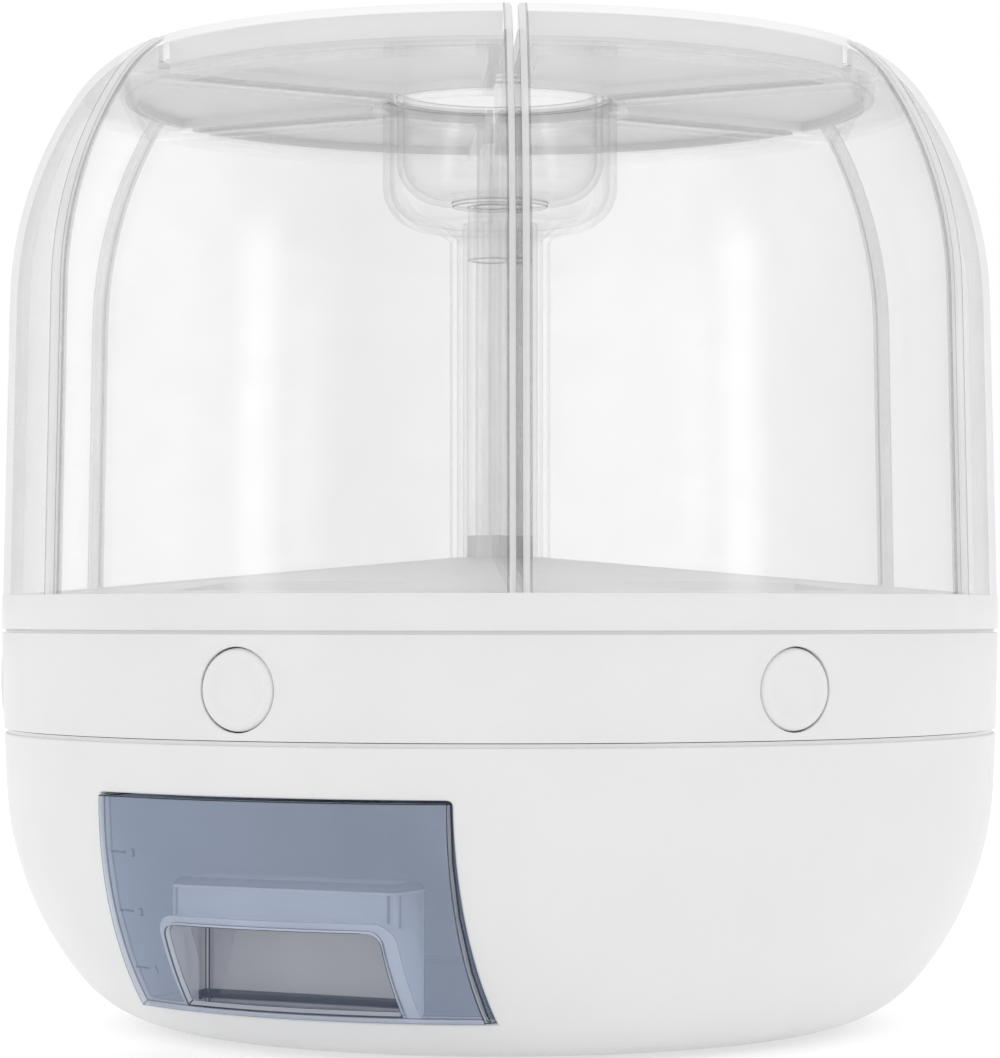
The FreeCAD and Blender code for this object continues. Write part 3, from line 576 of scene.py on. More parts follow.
def in_window(row, column):
    low, high = row_heights[row], row_heights[row + 1]
    return column < FRONT_COLUMNS and low >= WINDOW_LOW_Z - TOUCH and high <= WINDOW_HIGH_Z + TOUCH


bowl_mesh = rows_to_mesh("white_bowl", bowl_rows, round_rows=True, skip=in_window)
bowl = make_piece("white_bowl", bowl_mesh, white_plastic, "base", ["base_shell"])
give_wall(bowl, BOWL_WALL)
round_edges(bowl, 0.9, segments=3)
print("the bowl has", len(bowl_mesh.polygons), "faces before its wall")

# %% [markdown]
# ## The lip under the ring
# The gap between the bowl and the turning ring would look into the dark inside. A narrow lip on the
# bowl's upper edge closes it but for a hair, and leaves a shallow grey groove. It is round all the way, so
# its section is turned like a pot on a wheel, here by a lathe function that later shapes use as well.

# %% Build the lip
LIP_INNER = 156.9
LIP_OUTER = 158.2
LIP_LOW_Z = 92.5
LIP_TOP_Z = 95.05
ROUND_STEPS = 180


def lathe(name, section, closed=True, steps=ROUND_STEPS):
    """A section turned about the axis; a closed section makes a solid ring or shell."""
    rows = [[round_axis(radius, 360 * k / steps, z) for k in range(steps)] for radius, z in section]
    return rows_to_mesh(name, rows, round_rows=True, round_sides=closed)


lip_section = [
    (LIP_INNER, LIP_LOW_Z),
    (LIP_OUTER, LIP_LOW_Z),
    (LIP_OUTER, LIP_TOP_Z),
    (LIP_INNER, LIP_TOP_Z),
]
make_piece("bowl_lip", lathe("bowl_lip", lip_section), white_plastic, "base")
print("the lip ends at", LIP_TOP_Z)

# %% [markdown]
# ## The smoked drawer
# The drawer is one tinted moulding: a curved front plate that follows the bowl, a tub behind it, and a
# finger pocket with a collar round its grip. Every part of it hangs on the front's curve, so a
# function gives the depth of that curve at any place across and up. The plate is then a flat grid
# of places that is laid on the curve.

# %% The front's curve
FACE_CENTRE = (61.0, 77.0)
FACE_RADIUS = 99.0
DRAWER_WALL = 2.4
BEHIND = -DRAWER_WALL + 0.1


def face_depth(x, z, outward=0.0):
    """Where the front's surface lies along Y, moved outward by the given amount."""
    radius = FACE_CENTRE[0] + math.sqrt((FACE_RADIUS + outward) ** 2 - (z - FACE_CENTRE[1]) ** 2)
    return -math.sqrt(radius**2 - x**2)


def even_steps(low, high, steps):
    return [between(low, high, k / steps) for k in range(steps + 1)]


print("the front bulges to", round(face_depth(0, 70), 1), "at its middle")

# %% [markdown]
# ## The front plate
# The grid has one set of columns left of the grip, one across it and one right of it, so the grip opening
# is again a matter of leaving faces out. The columns beside it lean in where its upper corners are round.

# %% Build the front plate
POCKET_HALF = 37.7
POCKET_WALL = 2.2
GRIP_HALF = POCKET_HALF - POCKET_WALL
GRIP_LOW_Z = DRAWER_FLOOR_Z + POCKET_WALL
GRIP_TOP_Z = 41.0
GRIP_CORNER = 3.5
SIDE_COLUMNS = 8
GRIP_COLUMNS = 24


def plate_row(z):
    inside = min(max(z, GRIP_LOW_Z), GRIP_TOP_Z)
    half = opening_half(inside, GRIP_HALF, GRIP_TOP_Z, GRIP_CORNER)
    places = even_steps(-DRAWER_HALF, -half, SIDE_COLUMNS)[:-1]
    places += even_steps(-half, half, GRIP_COLUMNS)
    places += even_steps(half, DRAWER_HALF, SIDE_COLUMNS)[1:]
    return [(x, face_depth(x, z), z) for x in places]


grip_corner_heights = [GRIP_TOP_Z - GRIP_CORNER * (1 - k / 5) ** 2 for k in range(6)]
plate_heights = [DRAWER_FLOOR_Z] + even_steps(GRIP_LOW_Z, grip_corner_heights[0], 8)
plate_heights += grip_corner_heights[1:] + even_steps(GRIP_TOP_Z, DRAWER_TOP_Z, 12)[1:]


def in_grip(row, column):
    low, high = plate_heights[row], plate_heights[row + 1]
    across = SIDE_COLUMNS <= column < SIDE_COLUMNS + GRIP_COLUMNS
    return across and low >= GRIP_LOW_Z - TOUCH and high <= GRIP_TOP_Z + TOUCH


plate_mesh = rows_to_mesh("drawer_front", [plate_row(z) for z in plate_heights], skip=in_grip)
drawer_front = make_piece("drawer_front", plate_mesh, smoked, "drawer", ["measuring_drawer"])
# Its narrow sides get the paler finish, painted light, and its rounded edges the dark one, painted shade.
give_wall(drawer_front, DRAWER_WALL)
round_edges(drawer_front, 1.0, segments=3)
print("the plate has", len(plate_mesh.polygons), "faces before its wall")

# %% [markdown]
# ## The collar behind the grip
# A thick collar runs from the grip opening back into the pocket. Through the plate it shows as a bold
# frame round the grip. It is a band between two arches, an outer and an inner one, closed at both ends.

# %% Build the collar
COLLAR_HALF = 39.3
COLLAR_TOP_Z = 43.8
COLLAR_CORNER = 6.0
COLLAR_DEPTH = 13.0
COLLAR_FOOT_Z = DRAWER_FLOOR_Z + 0.2
GRIP_BACK = -129.0


def arch(half, low_z, high_z, corner):
    """An upside-down U as places across and up, from its right foot to its left foot."""
    right = arc((half - corner, high_z - corner), corner, 0, 90, 8)
    left = arc((corner - half, high_z - corner), corner, 90, 180, 8)
    side = even_steps(low_z, high_z - corner, 6)[:-1]
    top = even_steps(half - corner, corner - half, 12)[1:-1]
    right_leg = [(half, z) for z in side]
    left_leg = [(-half, z) for z in side[::-1]]
    return right_leg + right + [(x, high_z) for x in top] + left + left_leg


def collar_back(x, z):
    return min(face_depth(x, z, -COLLAR_DEPTH), GRIP_BACK)


def turned_outward(mesh):
    """The same mesh with all of its faces turned the same way, outward."""
    shape = bmesh.new()
    shape.from_mesh(mesh)
    bmesh.ops.recalc_face_normals(shape, faces=shape.faces)
    shape.to_mesh(mesh)
    shape.free()
    return mesh


outside = arch(COLLAR_HALF, COLLAR_FOOT_Z, COLLAR_TOP_Z, COLLAR_CORNER)
inside = arch(GRIP_HALF, COLLAR_FOOT_Z, GRIP_TOP_Z, GRIP_CORNER)
collar_rows = [
    [(x, face_depth(x, z, BEHIND), z) for x, z in outside],
    [(x, collar_back(x, z), z) for x, z in outside],
    [(x, collar_back(x, z), z) for x, z in inside],
    [(x, face_depth(x, z, BEHIND), z) for x, z in inside],
]
collar_mesh = rows_to_mesh("grip_collar", collar_rows, round_sides=True)
collar = bmesh.new()
collar.from_mesh(collar_mesh)
bmesh.ops.holes_fill(collar, edges=collar.edges, sides=4)
collar.to_mesh(collar_mesh)
collar.free()
collar_mesh = tidy_shading(turned_outward(collar_mesh))
# The collar takes the paler finish, painted light, with painted shade on its rounded edges.
grip_collar = make_piece("grip_collar", collar_mesh, (smoke_painted_light, smoke_edge_painted_shade), "drawer")
round_edges(grip_collar, 0.5)
print("the collar has", len(collar_mesh.polygons), "faces")

# %% [markdown]
# ## The finger pocket
# The pocket is a box with soft corners behind the collar. Each of its rows is a rounded outline at one
# height. Up to the grip's top the faces in front are left out, so fingers reach in. Above it they are the
# wall that the fingers hook behind. The last rows draw in along a quarter circle and then shut the roof.

# %% The pocket's rows
POCKET_TOP_Z = 54.5
POCKET_FRONT = -142.0
POCKET_BACK = -122.0
POCKET_CORNER = 3.0
CORNER_STEPS = 5
MOUTH_TOP_Z = GRIP_TOP_Z + 0.6


def pocket_row(z, front=POCKET_FRONT, inset=0.0):
    """A closed rounded outline at a height, from its front left corner, drawn in by the inset."""
    corner = POCKET_CORNER - 0.9 * inset
    x, low_y, high_y = POCKET_HALF - inset - corner, front + inset + corner, POCKET_BACK - inset - corner
    turns = [
        arc(centre, corner, 180 + 90 * k, 270 + 90 * k, CORNER_STEPS)
        for k, centre in enumerate(((-x, low_y), (x, low_y), (x, high_y), (-x, high_y)))
    ]
    return [(*point, z) for turn in turns for point in turn]


# The foot band is a painted shadow: a dark strip across the pocket's back at these heights.
FOOT_SHADOW_BAND = (17.3, 20.2)
mouth_heights = [COLLAR_FOOT_Z, *FOOT_SHADOW_BAND, 30.0, MOUTH_TOP_Z - 0.1]
mouth_rows = [pocket_row(z, front=collar_back(POCKET_HALF, z) - POCKET_CORNER - 0.1) for z in mouth_heights]
wall_rows = [pocket_row(MOUTH_TOP_Z), pocket_row(48.0)]
roof_edge = arc((0, POCKET_TOP_Z - POCKET_CORNER), POCKET_CORNER, 0, 90, 6)
roof_rows = [pocket_row(z, inset=POCKET_CORNER - out) for out, z in roof_edge]
roof_middle = [(0, (POCKET_FRONT + POCKET_BACK) / 2, POCKET_TOP_Z)] * len(roof_rows[0])
print("the pocket has", len(roof_rows[0]), "points in a row")

# %% [markdown]
# ## The pocket's finishes
# On the real drawer the pocket reads by its lines of light and shade: dark at a corner's borders, pale in
# its middle, dark round the roof, and a dark shadow band at its foot. Here they are painted: painted shade,
# painted highlights and a painted shadow, over a paler finish that is painted light. Separate strips could
# be laid over it, but they would stand off the surface. Each face gets the number of its finish instead,
# worked out from its place in the rows.

# %% Build the pocket
def in_mouth(row, column):
    return row < len(mouth_rows) and column < 2 * CORNER_STEPS + 1


def pocket_finish(row, column):
    """A face's finish: 1 for painted shade at edges, 2 for painted highlights in the corners, 3 for a painted
    shadow band at the foot, else 0.
    """
    place = column % (CORNER_STEPS + 1)
    roof_step = row - len(mouth_rows) - len(wall_rows)
    if roof_step >= 0:
        return 2 if roof_step == 0 else int(roof_step < len(roof_rows) - 1)
    if row == 1:
        return 3 * (column > 2 * CORNER_STEPS + 1)
    if place == CORNER_STEPS:
        return 0
    return 1 if place in (0, CORNER_STEPS - 1) else 2 * (place == CORNER_STEPS // 2)


pocket_rows = mouth_rows + wall_rows + roof_rows + [roof_middle]
pocket_mesh = rows_to_mesh("finger_pocket", pocket_rows, round_rows=True, skip=in_mouth, finish=pocket_finish)
pocket_finishes = (smoke_painted_light, smoke_edge_painted_shade, smoke_painted_highlight, smoke_marks_and_painted_shadow)
finger_pocket = make_piece("finger_pocket", pocket_mesh, pocket_finishes, "drawer")
give_wall(finger_pocket, POCKET_WALL).material_offset_rim = 0
print("the pocket reaches back to", POCKET_BACK)

# %% [markdown]
# ## The tub
# The tub holds the grain that has run down. Its rows run down its sides and back, and its floor is one
# face whose front border follows the plate.

# %% Build the tub
DRAWER_BACK = 24.6
TUB_CORNER = 3.0


def tub_row(z):
    """The tub's sides and back at a height, from its right front round to its left front."""
    front = face_depth(DRAWER_HALF, z, BEHIND)
    turn_y = DRAWER_BACK - TUB_CORNER
    turn_x = DRAWER_HALF - TUB_CORNER
    line = [(DRAWER_HALF, y) for y in even_steps(front, turn_y, 8)[:-1]]
    line += arc((turn_x, turn_y), TUB_CORNER, 0, 90, 6)
    line += [(-x, y) for x, y in reversed(line)]
    return [(x, y, z) for x, y in line]


tub_rows = [tub_row(z) for z in (DRAWER_FLOOR_Z, 17.0, 30.0, 46.0, 62.0, DRAWER_TOP_Z)]
sides = rows_to_mesh("drawer_tub", tub_rows)
floor_front = [
    (x, face_depth(x, DRAWER_FLOOR_Z, BEHIND), DRAWER_FLOOR_Z)
    for x in even_steps(-DRAWER_HALF, DRAWER_HALF, 24)[1:-1]
]
tub = bmesh.new()
tub.from_mesh(sides)
tub.faces.new([tub.verts.new([value * MM for value in point]) for point in tub_rows[0] + floor_front])
bmesh.ops.remove_doubles(tub, verts=tub.verts, dist=WELD_REACH)
tub.to_mesh(sides)
tub.free()
tub_mesh = tidy_shading(turned_outward(sides))
drawer_tub = make_piece("drawer_tub", tub_mesh, smoked, "drawer")
# Its narrow sides get the paler finish, painted light, and its rounded edges the dark one, painted shade.
give_wall(drawer_tub, DRAWER_WALL)
round_edges(drawer_tub, 0.4)
print("the tub is", round(DRAWER_BACK - face_depth(0, 70)), "mm long")

# %% [markdown]
# ## The measuring marks
# Three faint raised lines with plain numbers stand beside the grip, on the plate's outer face. A line is
# a small slab. It could be set on the plate at an angle, but it would leave the curve at its ends, so each
# of its points is laid on the curve.

# %% Lay a flat shape on the front
MARK_LIFT = (-0.3, 0.12)


def laid_on_face(mesh, x, z):
    """Wraps a flat mesh of places across (X), up (Y) and out (Z), in metres, onto the front's curve."""
    for vertex in mesh.vertices:
        across, up, out = [value / MM for value in vertex.co]
        lift = MARK_LIFT[1] if out > 0 else MARK_LIFT[0]
        vertex.co = (
            (x + across) * MM,
            face_depth(x + across, z + up, lift) * MM,
            (z + up) * MM,
        )
    return mesh


def slab(name, width, height):
    """A flat bar with a few cuts along it, so that it can follow the curve."""
    shape = bmesh.new()
    bmesh.ops.create_cube(shape, size=MM)
    bmesh.ops.scale(shape, vec=(width, height, 1), verts=shape.verts)
    half_width = 0.5 * width * MM
    long_edges = [edge for edge in shape.edges if abs(edge.verts[0].co.x - edge.verts[1].co.x) > half_width]
    bmesh.ops.subdivide_edges(shape, edges=long_edges, cuts=4)
    mesh = bpy.data.meshes.new(name)
    shape.to_mesh(mesh)
    shape.free()
    return mesh


print("a mark stands", MARK_LIFT[1], "mm proud")

# %% [markdown]
# ## Numbers and places
# The numbers are plain Blender text. Text stays a flat curve object, so it is turned into a mesh, and then
# its points are laid on the front's curve in the same way as the lines.

# %% Build the marks
MARK_X = -49.5
NUMBER_X = MARK_X + 6.2
NUMBER_DROP = 0.2
MARK_SIZE = (6.0, 0.45)
MARK_HEIGHTS = (27.0, 44.5, 62.0)
NUMBER_SIZE = 3.4


def loose(name, mesh):
    """An object that is only used to shape another one."""
    tool = bpy.data.objects.new(name, mesh)
    bpy.context.scene.collection.objects.link(tool)
    return tool


def number_mesh(name, text):
    """A plain number as a mesh, a little thick, with its middle at the origin."""
    letters = bpy.data.curves.new(name, "FONT")
    letters.body = text
    letters.size = NUMBER_SIZE * MM
    letters.extrude = 0.5 * MM
    letters.resolution_u = 3
    letters.align_x = "CENTER"
    letters.align_y = "CENTER"
    writer = loose(name, letters)
    mesh = bpy.data.meshes.new_from_object(writer.evaluated_get(bpy.context.evaluated_depsgraph_get()))
    bpy.data.objects.remove(writer)
    return mesh


for count, z in enumerate(MARK_HEIGHTS, start=1):
    line = laid_on_face(slab(f"mark_line_{count}", *MARK_SIZE), MARK_X, z)
    make_piece(f"mark_line_{count}", line, smoke_marks_and_painted_shadow, "drawer")
    number = laid_on_face(number_mesh(f"mark_number_{count}", str(count)), NUMBER_X, z - NUMBER_DROP)
    make_piece(f"mark_number_{count}", number, smoke_marks_and_painted_shadow, "drawer")
print("marks at", MARK_HEIGHTS)

# %% [markdown]
# ## The push buttons
# Each button is a round cap with a shallow dish for the fingertip and a soft edge. It is turned about its
# own axis with the lathe, then a matrix points that axis out of the ring. Each of the six is a copy of
# that mesh, and rides on its own body.

# %% Build the buttons
DRUM_RADIUS = 160.0
DRUM_TURN = -1.6
BIN_COUNT = 6
BIN_STEP = 360 / BIN_COUNT
BUTTON_RADIUS = 12.0
BUTTON_Z = 109.8
BUTTON_BACK = 154.4
BUTTON_FRONT = DRUM_RADIUS + 0.3
BUTTON_EDGE = 2.4
BUTTON_DISH = 1.3
DISH_STEPS = 16


def drum_angle(number):
    """The angle of a bin's middle, and of its button, counted from 1."""
    return DRUM_TURN + BIN_STEP * (number - 1)


def outward_at(degrees, z):
    """A place at that angle, whose own Z points out of the ring."""
    turn = Matrix.Rotation(math.radians(degrees), 4, "Z")
    tip = Matrix.Rotation(math.radians(90), 4, "X")
    return Matrix.Translation((0, 0, z * MM)) @ turn @ tip


dish_rim = BUTTON_RADIUS - BUTTON_EDGE
shares = [k / DISH_STEPS for k in range(DISH_STEPS)]
dish = [(dish_rim * share, BUTTON_FRONT - BUTTON_DISH * (1 - share**6) ** 2) for share in shares]
edge = arc((dish_rim, BUTTON_FRONT - BUTTON_EDGE), BUTTON_EDGE, 90, 0, 6)
button_section = [(0, BUTTON_BACK), (BUTTON_RADIUS, BUTTON_BACK), *edge[::-1], *dish[::-1]]
button_mesh = lathe("push_button", button_section, closed=False, steps=72)
for number in range(1, BIN_COUNT + 1):
    place = outward_at(drum_angle(number), BUTTON_Z)
    name, node, body = f"button_cap_{number}", f"push_button_{number}", f"button_{number}"
    make_piece(name, button_mesh, white_plastic, body, [node], place)
print("buttons at", [round(drum_angle(number), 1) for number in range(1, BIN_COUNT + 1)])

# %% [markdown]
# ## The bins' section
# Seen from the side, a bin follows the dome outside: a slightly leaning wall, a wide shoulder and a
# tighter top curve. Inside it runs up the centre column, steps out and rounds under the cup. Each of
# these two lines can be moved by the wall's thickness, and keeps the same number of points, so that
# the skin inside matches the skin outside point for point.

# %% The two lines of a bin
BIN_FOOT = (159.72, 137.3)
BIN_TOP_Z = 308.2
DOME_DRAFT = 1.3
DOME_STRAIGHT_Z = 231.0
DOME_SIDE_RADIUS = 120.0
DOME_SIDE_END = 33.6
DOME_TOP_RADIUS = 42.1
CONE_TOP = (14.0, 149.8)
STEP_FOOT_Z = 253.0
STEP_TOP = (19.6, 257.8)
WRAP_RADIUS = 35.8
WRAP_ROUND = 11.8
WRAP_CENTRE_Z = 270.0
WRAP_ABOVE_Z = 303.0

dome_lean = math.radians(DOME_DRAFT)
shoulder = (BIN_FOOT[0] - (DOME_STRAIGHT_Z - BIN_FOOT[1]) * math.tan(dome_lean), DOME_STRAIGHT_Z)
side_centre = centre_from(shoulder, DOME_SIDE_RADIUS, DOME_DRAFT)
side_end = arc(side_centre, DOME_SIDE_RADIUS, 0, DOME_SIDE_END, 1)[-1]
top_centre = centre_from(side_end, DOME_TOP_RADIUS, DOME_SIDE_END)
top_end = math.degrees(math.asin((BIN_TOP_Z - top_centre[1]) / DOME_TOP_RADIUS))


def floor_z(radius):
    """The height of the tray's sloping floor, which falls from the column to the rim."""
    share = (radius - CONE_TOP[0]) / (BIN_FOOT[0] - CONE_TOP[0])
    return between(CONE_TOP[1], BIN_FOOT[1], share)


def dome_line(inset):
    """The outer line of a bin's section from its foot to its rim, moved inward."""
    side = arc(side_centre, DOME_SIDE_RADIUS - inset, DOME_DRAFT, DOME_SIDE_END, 12)
    top = arc(top_centre, DOME_TOP_RADIUS - inset, DOME_SIDE_END, top_end, 12)
    foot = BIN_FOOT[0] - inset / math.cos(dome_lean)
    wall = [(between(foot, side[0][0], k / 6), between(floor_z(foot), side[0][1], k / 6)) for k in range(6)]
    return wall + side + top[1:]


def core_line(grow):
    """The inner line of a bin's section, round the column and the cup, moved outward."""
    near = CONE_TOP[0] + grow
    column = [(near, z) for z in even_steps(floor_z(near), STEP_FOOT_Z - 0.4 * grow, 12)]
    step = [(STEP_TOP[0] + 0.4 * grow, STEP_TOP[1] - grow)]
    under_cup = arc((WRAP_RADIUS - WRAP_ROUND, WRAP_CENTRE_Z), WRAP_ROUND + grow, -90, 0, 10)
    beside_cup = [(WRAP_RADIUS + grow, z) for z in even_steps(WRAP_CENTRE_Z, WRAP_ABOVE_Z, 6)[1:]]
    return column + step + under_cup + beside_cup


print("points on the dome and on the core:", len(dome_line(0)), len(core_line(0)))

# %% [markdown]
# ## One level of a bin
# Seen from above, a bin is a wedge with rounded outer corners. Its sides are parallel to the radial
# planes and stand back from them a little, which leaves the narrow gap between neighbours. A level is
# worked out as one half and mirrored. The points run along the outer wall, round the corner, down the side
# and round the column, and a face's finish follows from its place in that count.

# %% The plan of a bin
BIN_GAP = 0.9
BIN_CORNER = 2.6
OUTER_STEPS = 20
TURN_STEPS = 6
SIDE_STEPS = 12
INNER_STEPS = 8
SIDE_START = OUTER_STEPS + TURN_STEPS
SIDE_END = SIDE_START + SIDE_STEPS
BORDERS = (OUTER_STEPS, SIDE_START - 1, SIDE_START)
LEVEL_HALF = SIDE_END + INNER_STEPS
OUTER_ROWS = len(dome_line(0)) - 1
ALONG = (math.cos(math.radians(BIN_STEP / 2)), math.sin(math.radians(BIN_STEP / 2)))
ACROSS = (-ALONG[1], ALONG[0])


def on_side(reach, inset):
    """A point at that distance from the axis, set back from the radial plane by the inset."""
    run = math.sqrt(reach**2 - inset**2)
    return (ALONG[0] * run - ACROSS[0] * inset, ALONG[1] * run - ACROSS[1] * inset)


def bin_level(dome, core, inset, corner):
    """One closed row of a bin, anticlockwise from the middle of its outer wall."""
    (outer, outer_z), (inner, inner_z) = dome, core
    pivot = on_side(outer - corner, inset + corner)
    pivot_angle = math.degrees(math.atan2(pivot[1], pivot[0]))
    half = [(*point, outer_z) for point in arc((0, 0), outer, 0, pivot_angle, OUTER_STEPS)[:-1]]
    half += [(*point, outer_z) for point in arc(pivot, corner, pivot_angle, 90 + BIN_STEP / 2, TURN_STEPS)]
    far, near = half[-1], (*on_side(inner, inset), inner_z)
    shares = [(k / SIDE_STEPS) ** 2 for k in range(1, SIDE_STEPS)]
    half += [tuple(between(a, b, share) for a, b in zip(far, near)) for share in shares]
    near_angle = math.degrees(math.atan2(near[1], near[0]))
    half += [(*point, inner_z) for point in arc((0, 0), inner, near_angle, 0, INNER_STEPS)]
    return half + [(x, -y, z) for x, y, z in half[-2:0:-1]]


def bin_finish(row, column):
    """A face's finish on the outer skin: 1, painted shade, at a corner's borders, 2, a painted highlight, in
    its middle, 3 on a side, else 0.
    """
    mirrored = min(column, 2 * LEVEL_HALF - 1 - column)
    if row >= OUTER_ROWS or mirrored < BORDERS[0]:
        return 0
    if mirrored in BORDERS:
        return 1
    if mirrored < BORDERS[-1]:
        return 2
    return 3 if mirrored < SIDE_END else 0


def bin_skin(inset):
    """All levels of a bin, moved into its wall by the inset."""
    levels = zip(dome_line(inset), core_line(inset))
    return [bin_level(dome, core, BIN_GAP + inset, BIN_CORNER - inset) for dome, core in levels]


print("a level has", 2 * LEVEL_HALF, "points")

# %% [markdown]
# ## Build one bin
# The outer skin runs up and the inner skin runs down again, which closes the wall. The rim isn't level:
# the dome's lip is highest, and the side walls and the wall round the cup stop below the lids. The rows
# could be cut short one by one, but one turned cutter takes all of that away at once, with clean edges.

# %% The bin's skins and rim
BIN_WALL = 2.2
LIP_BORE = 121.7
SIDE_TOP_Z = 300.8
WRAP_TOP_Z = 298.6
CUTTER_TOP_Z = BIN_TOP_Z + 10
WRAP_CUT = WRAP_RADIUS + BIN_WALL + 0.5


def shaped(worker, operation, tool):
    """The worker's mesh, joined with or cut by the tool, as plain geometry. The tool is used up."""
    boolean = worker.modifiers.new("shape", "BOOLEAN")
    boolean.operation = operation
    boolean.solver = "EXACT"
    boolean.object = tool
    depsgraph = bpy.context.evaluated_depsgraph_get()
    mesh = bpy.data.meshes.new_from_object(worker.evaluated_get(depsgraph))
    worker.modifiers.clear()
    worker.data = mesh
    bpy.data.objects.remove(tool)
    return mesh


skins = bin_skin(0) + bin_skin(BIN_WALL)[::-1]
skin_mesh = rows_to_mesh("grain_bin", skins, round_rows=True, round_sides=True, finish=bin_finish)
bin_finishes = (clear_plastic, clear_edge_painted_shade, clear_painted_highlight, clear_side)
for bin_material in bin_finishes:
    skin_mesh.materials.append(bin_material)
bin_maker = loose("bin_maker", skin_mesh)
rim_steps = [
    (0, WRAP_TOP_Z),
    (WRAP_CUT, WRAP_TOP_Z),
    (WRAP_CUT, SIDE_TOP_Z),
    (LIP_BORE, SIDE_TOP_Z),
    (LIP_BORE, CUTTER_TOP_Z),
    (0, CUTTER_TOP_Z),
]
rim_cutter = loose("rim_cutter", lathe("rim_cutter", rim_steps, closed=False, steps=360))
shaped(bin_maker, "DIFFERENCE", rim_cutter)
print("the skins have", len(bin_maker.data.polygons), "faces after the cut")

# %% [markdown]
# ## The ledge for the lid
# Each lid lies on a ledge that runs round inside its bin, a little below the rim. It could be part of the
# rows, but the rows run up the wall and the ledge stands out from it, so it is a closed band of its own
# that is joined to the wall. The cut top edges then get the edge finish, painted shade for the dark line
# along a clear rim.

# %% The bin's ledge
LEDGE_Z = 293.9
LEDGE_THICK = 2.0
LEDGE_REACH = 4.0
LEDGE_IN_DOME = 135.6
FACING_UP = 0.9
TOP_EDGES_Z = WRAP_TOP_Z - 1


def ledge_row(outer, core, inset, z):
    return bin_level((outer, z), (core, z), inset, BIN_CORNER)


MID_WALL = BIN_WALL / 2
IN_WALL = (LEDGE_IN_DOME, WRAP_RADIUS + MID_WALL, BIN_GAP + MID_WALL)
REACH = BIN_WALL + LEDGE_REACH
FREE_EDGE = (LIP_BORE - LEDGE_REACH, WRAP_RADIUS + REACH, BIN_GAP + REACH)
LEDGE_TOP_Z = LEDGE_Z + LEDGE_THICK
corners = ((IN_WALL, LEDGE_Z), (IN_WALL, LEDGE_TOP_Z), (FREE_EDGE, LEDGE_TOP_Z), (FREE_EDGE, LEDGE_Z))
ledge_rows = [ledge_row(*place, z) for place, z in corners]
ledge = loose("ledge", rows_to_mesh("ledge", ledge_rows, round_rows=True, round_sides=True))
bin_mesh = tidy_shading(shaped(bin_maker, "UNION", ledge))
bpy.data.objects.remove(bin_maker)
# The flat top faces of the rims take the edge finish, painted shade for the dark line along a clear rim.
for face in bin_mesh.polygons:
    if face.center.z > TOP_EDGES_Z * MM and face.normal.z > FACING_UP:
        face.material_index = EDGE_FINISH
print("a bin has", len(bin_mesh.polygons), "faces")

# %% [markdown]
# ## Place the six bins
# The mesh was drawn with its middle along +X, so each bin is a copy of it, turned to its own angle
# less a quarter turn. All of them ride on the drum.

# %% Stand the bins on the drum
for number in range(1, BIN_COUNT + 1):
    place = Matrix.Rotation(math.radians(drum_angle(number) - 90), 4, "Z")
    name, node = f"clear_bin_{number}", f"grain_bin_{number}"
    clear_bin = make_piece(name, bin_mesh, bin_finishes, "drum", [node], place)
    # Its rounded edges take the edge finish, painted shade.
    round_edges(clear_bin, 0.35)
print(BIN_COUNT, "bins placed")

# %% [markdown]
# ## The centre cup
# The cup is one clear moulding that plugs the column and closes the middle. It is round, so the lathe
# turns it in one go: its section starts at the spigot, runs under the floor and up outside to the flange
# that lies on the bins, and comes back down inside.

# %% Build the cup
CUP_RADIUS = 33.5
CUP_FLOOR_Z = 264.8
CUP_ROUND = 13.5
CUP_WALL = 2.0
CUP_FLANGE = 36.6
CUP_TOP_Z = 300.8
FLANGE_THICK = 1.9
CUP_RING = 15.5
SPIGOT_RADIUS = 10.4
SPIGOT_WALL = 1.8
SPIGOT_FOOT_Z = 246.0
CUP_UNDER_Z = CUP_FLOOR_Z - 1
RING_UNDER_Z = CUP_FLOOR_Z - 1.4

cup_centre = (CUP_RADIUS - CUP_ROUND, CUP_FLOOR_Z + CUP_ROUND)
room_side = arc(cup_centre, CUP_ROUND - CUP_WALL, -90, 0, 14)
cup_side = arc(cup_centre, CUP_ROUND, -90, 0, 14)
rim = arc((CUP_FLANGE - FLANGE_THICK / 2, CUP_TOP_Z - FLANGE_THICK / 2), FLANGE_THICK / 2, -90, 90, 6)
cup_section = [
    (0, CUP_UNDER_Z),
    (SPIGOT_RADIUS - SPIGOT_WALL, CUP_UNDER_Z),
    (SPIGOT_RADIUS - SPIGOT_WALL, SPIGOT_FOOT_Z),
    (SPIGOT_RADIUS, SPIGOT_FOOT_Z),
    (SPIGOT_RADIUS, RING_UNDER_Z),
    (CUP_RING, RING_UNDER_Z),
    (CUP_RING, CUP_FLOOR_Z),
    *cup_side,
    (CUP_RADIUS, CUP_TOP_Z - FLANGE_THICK),
    *rim,
    (CUP_RADIUS - CUP_WALL, CUP_TOP_Z),
    *room_side[::-1],
    (0, CUP_FLOOR_Z + CUP_WALL),
]
cup_mesh = lathe("centre_cup", cup_section, closed=False, steps=120)
cup_finishes = (clear_plastic, clear_edge_painted_shade)
clear_cup = make_piece("clear_cup", cup_mesh, cup_finishes, "centre_cup", ["centre_cup"])
round_edges(clear_cup, 0.4)
print("the cup has", len(cup_mesh.polygons), "faces")

# %% [markdown]
# ## The floor
# The dispenser stands on a pure white ground with a soft shadow. A plain white floor comes out grey,
# because it only gives back part of the light. More light would burn out the white plastic, so the
# floor adds just enough of its own light to reach white, and still shows the shadow under the bowl.

# %% Floor
FLOOR_HALF = 6.0
FLOOR_GLOW = 0.22
FLOOR_LIFT = 0.42

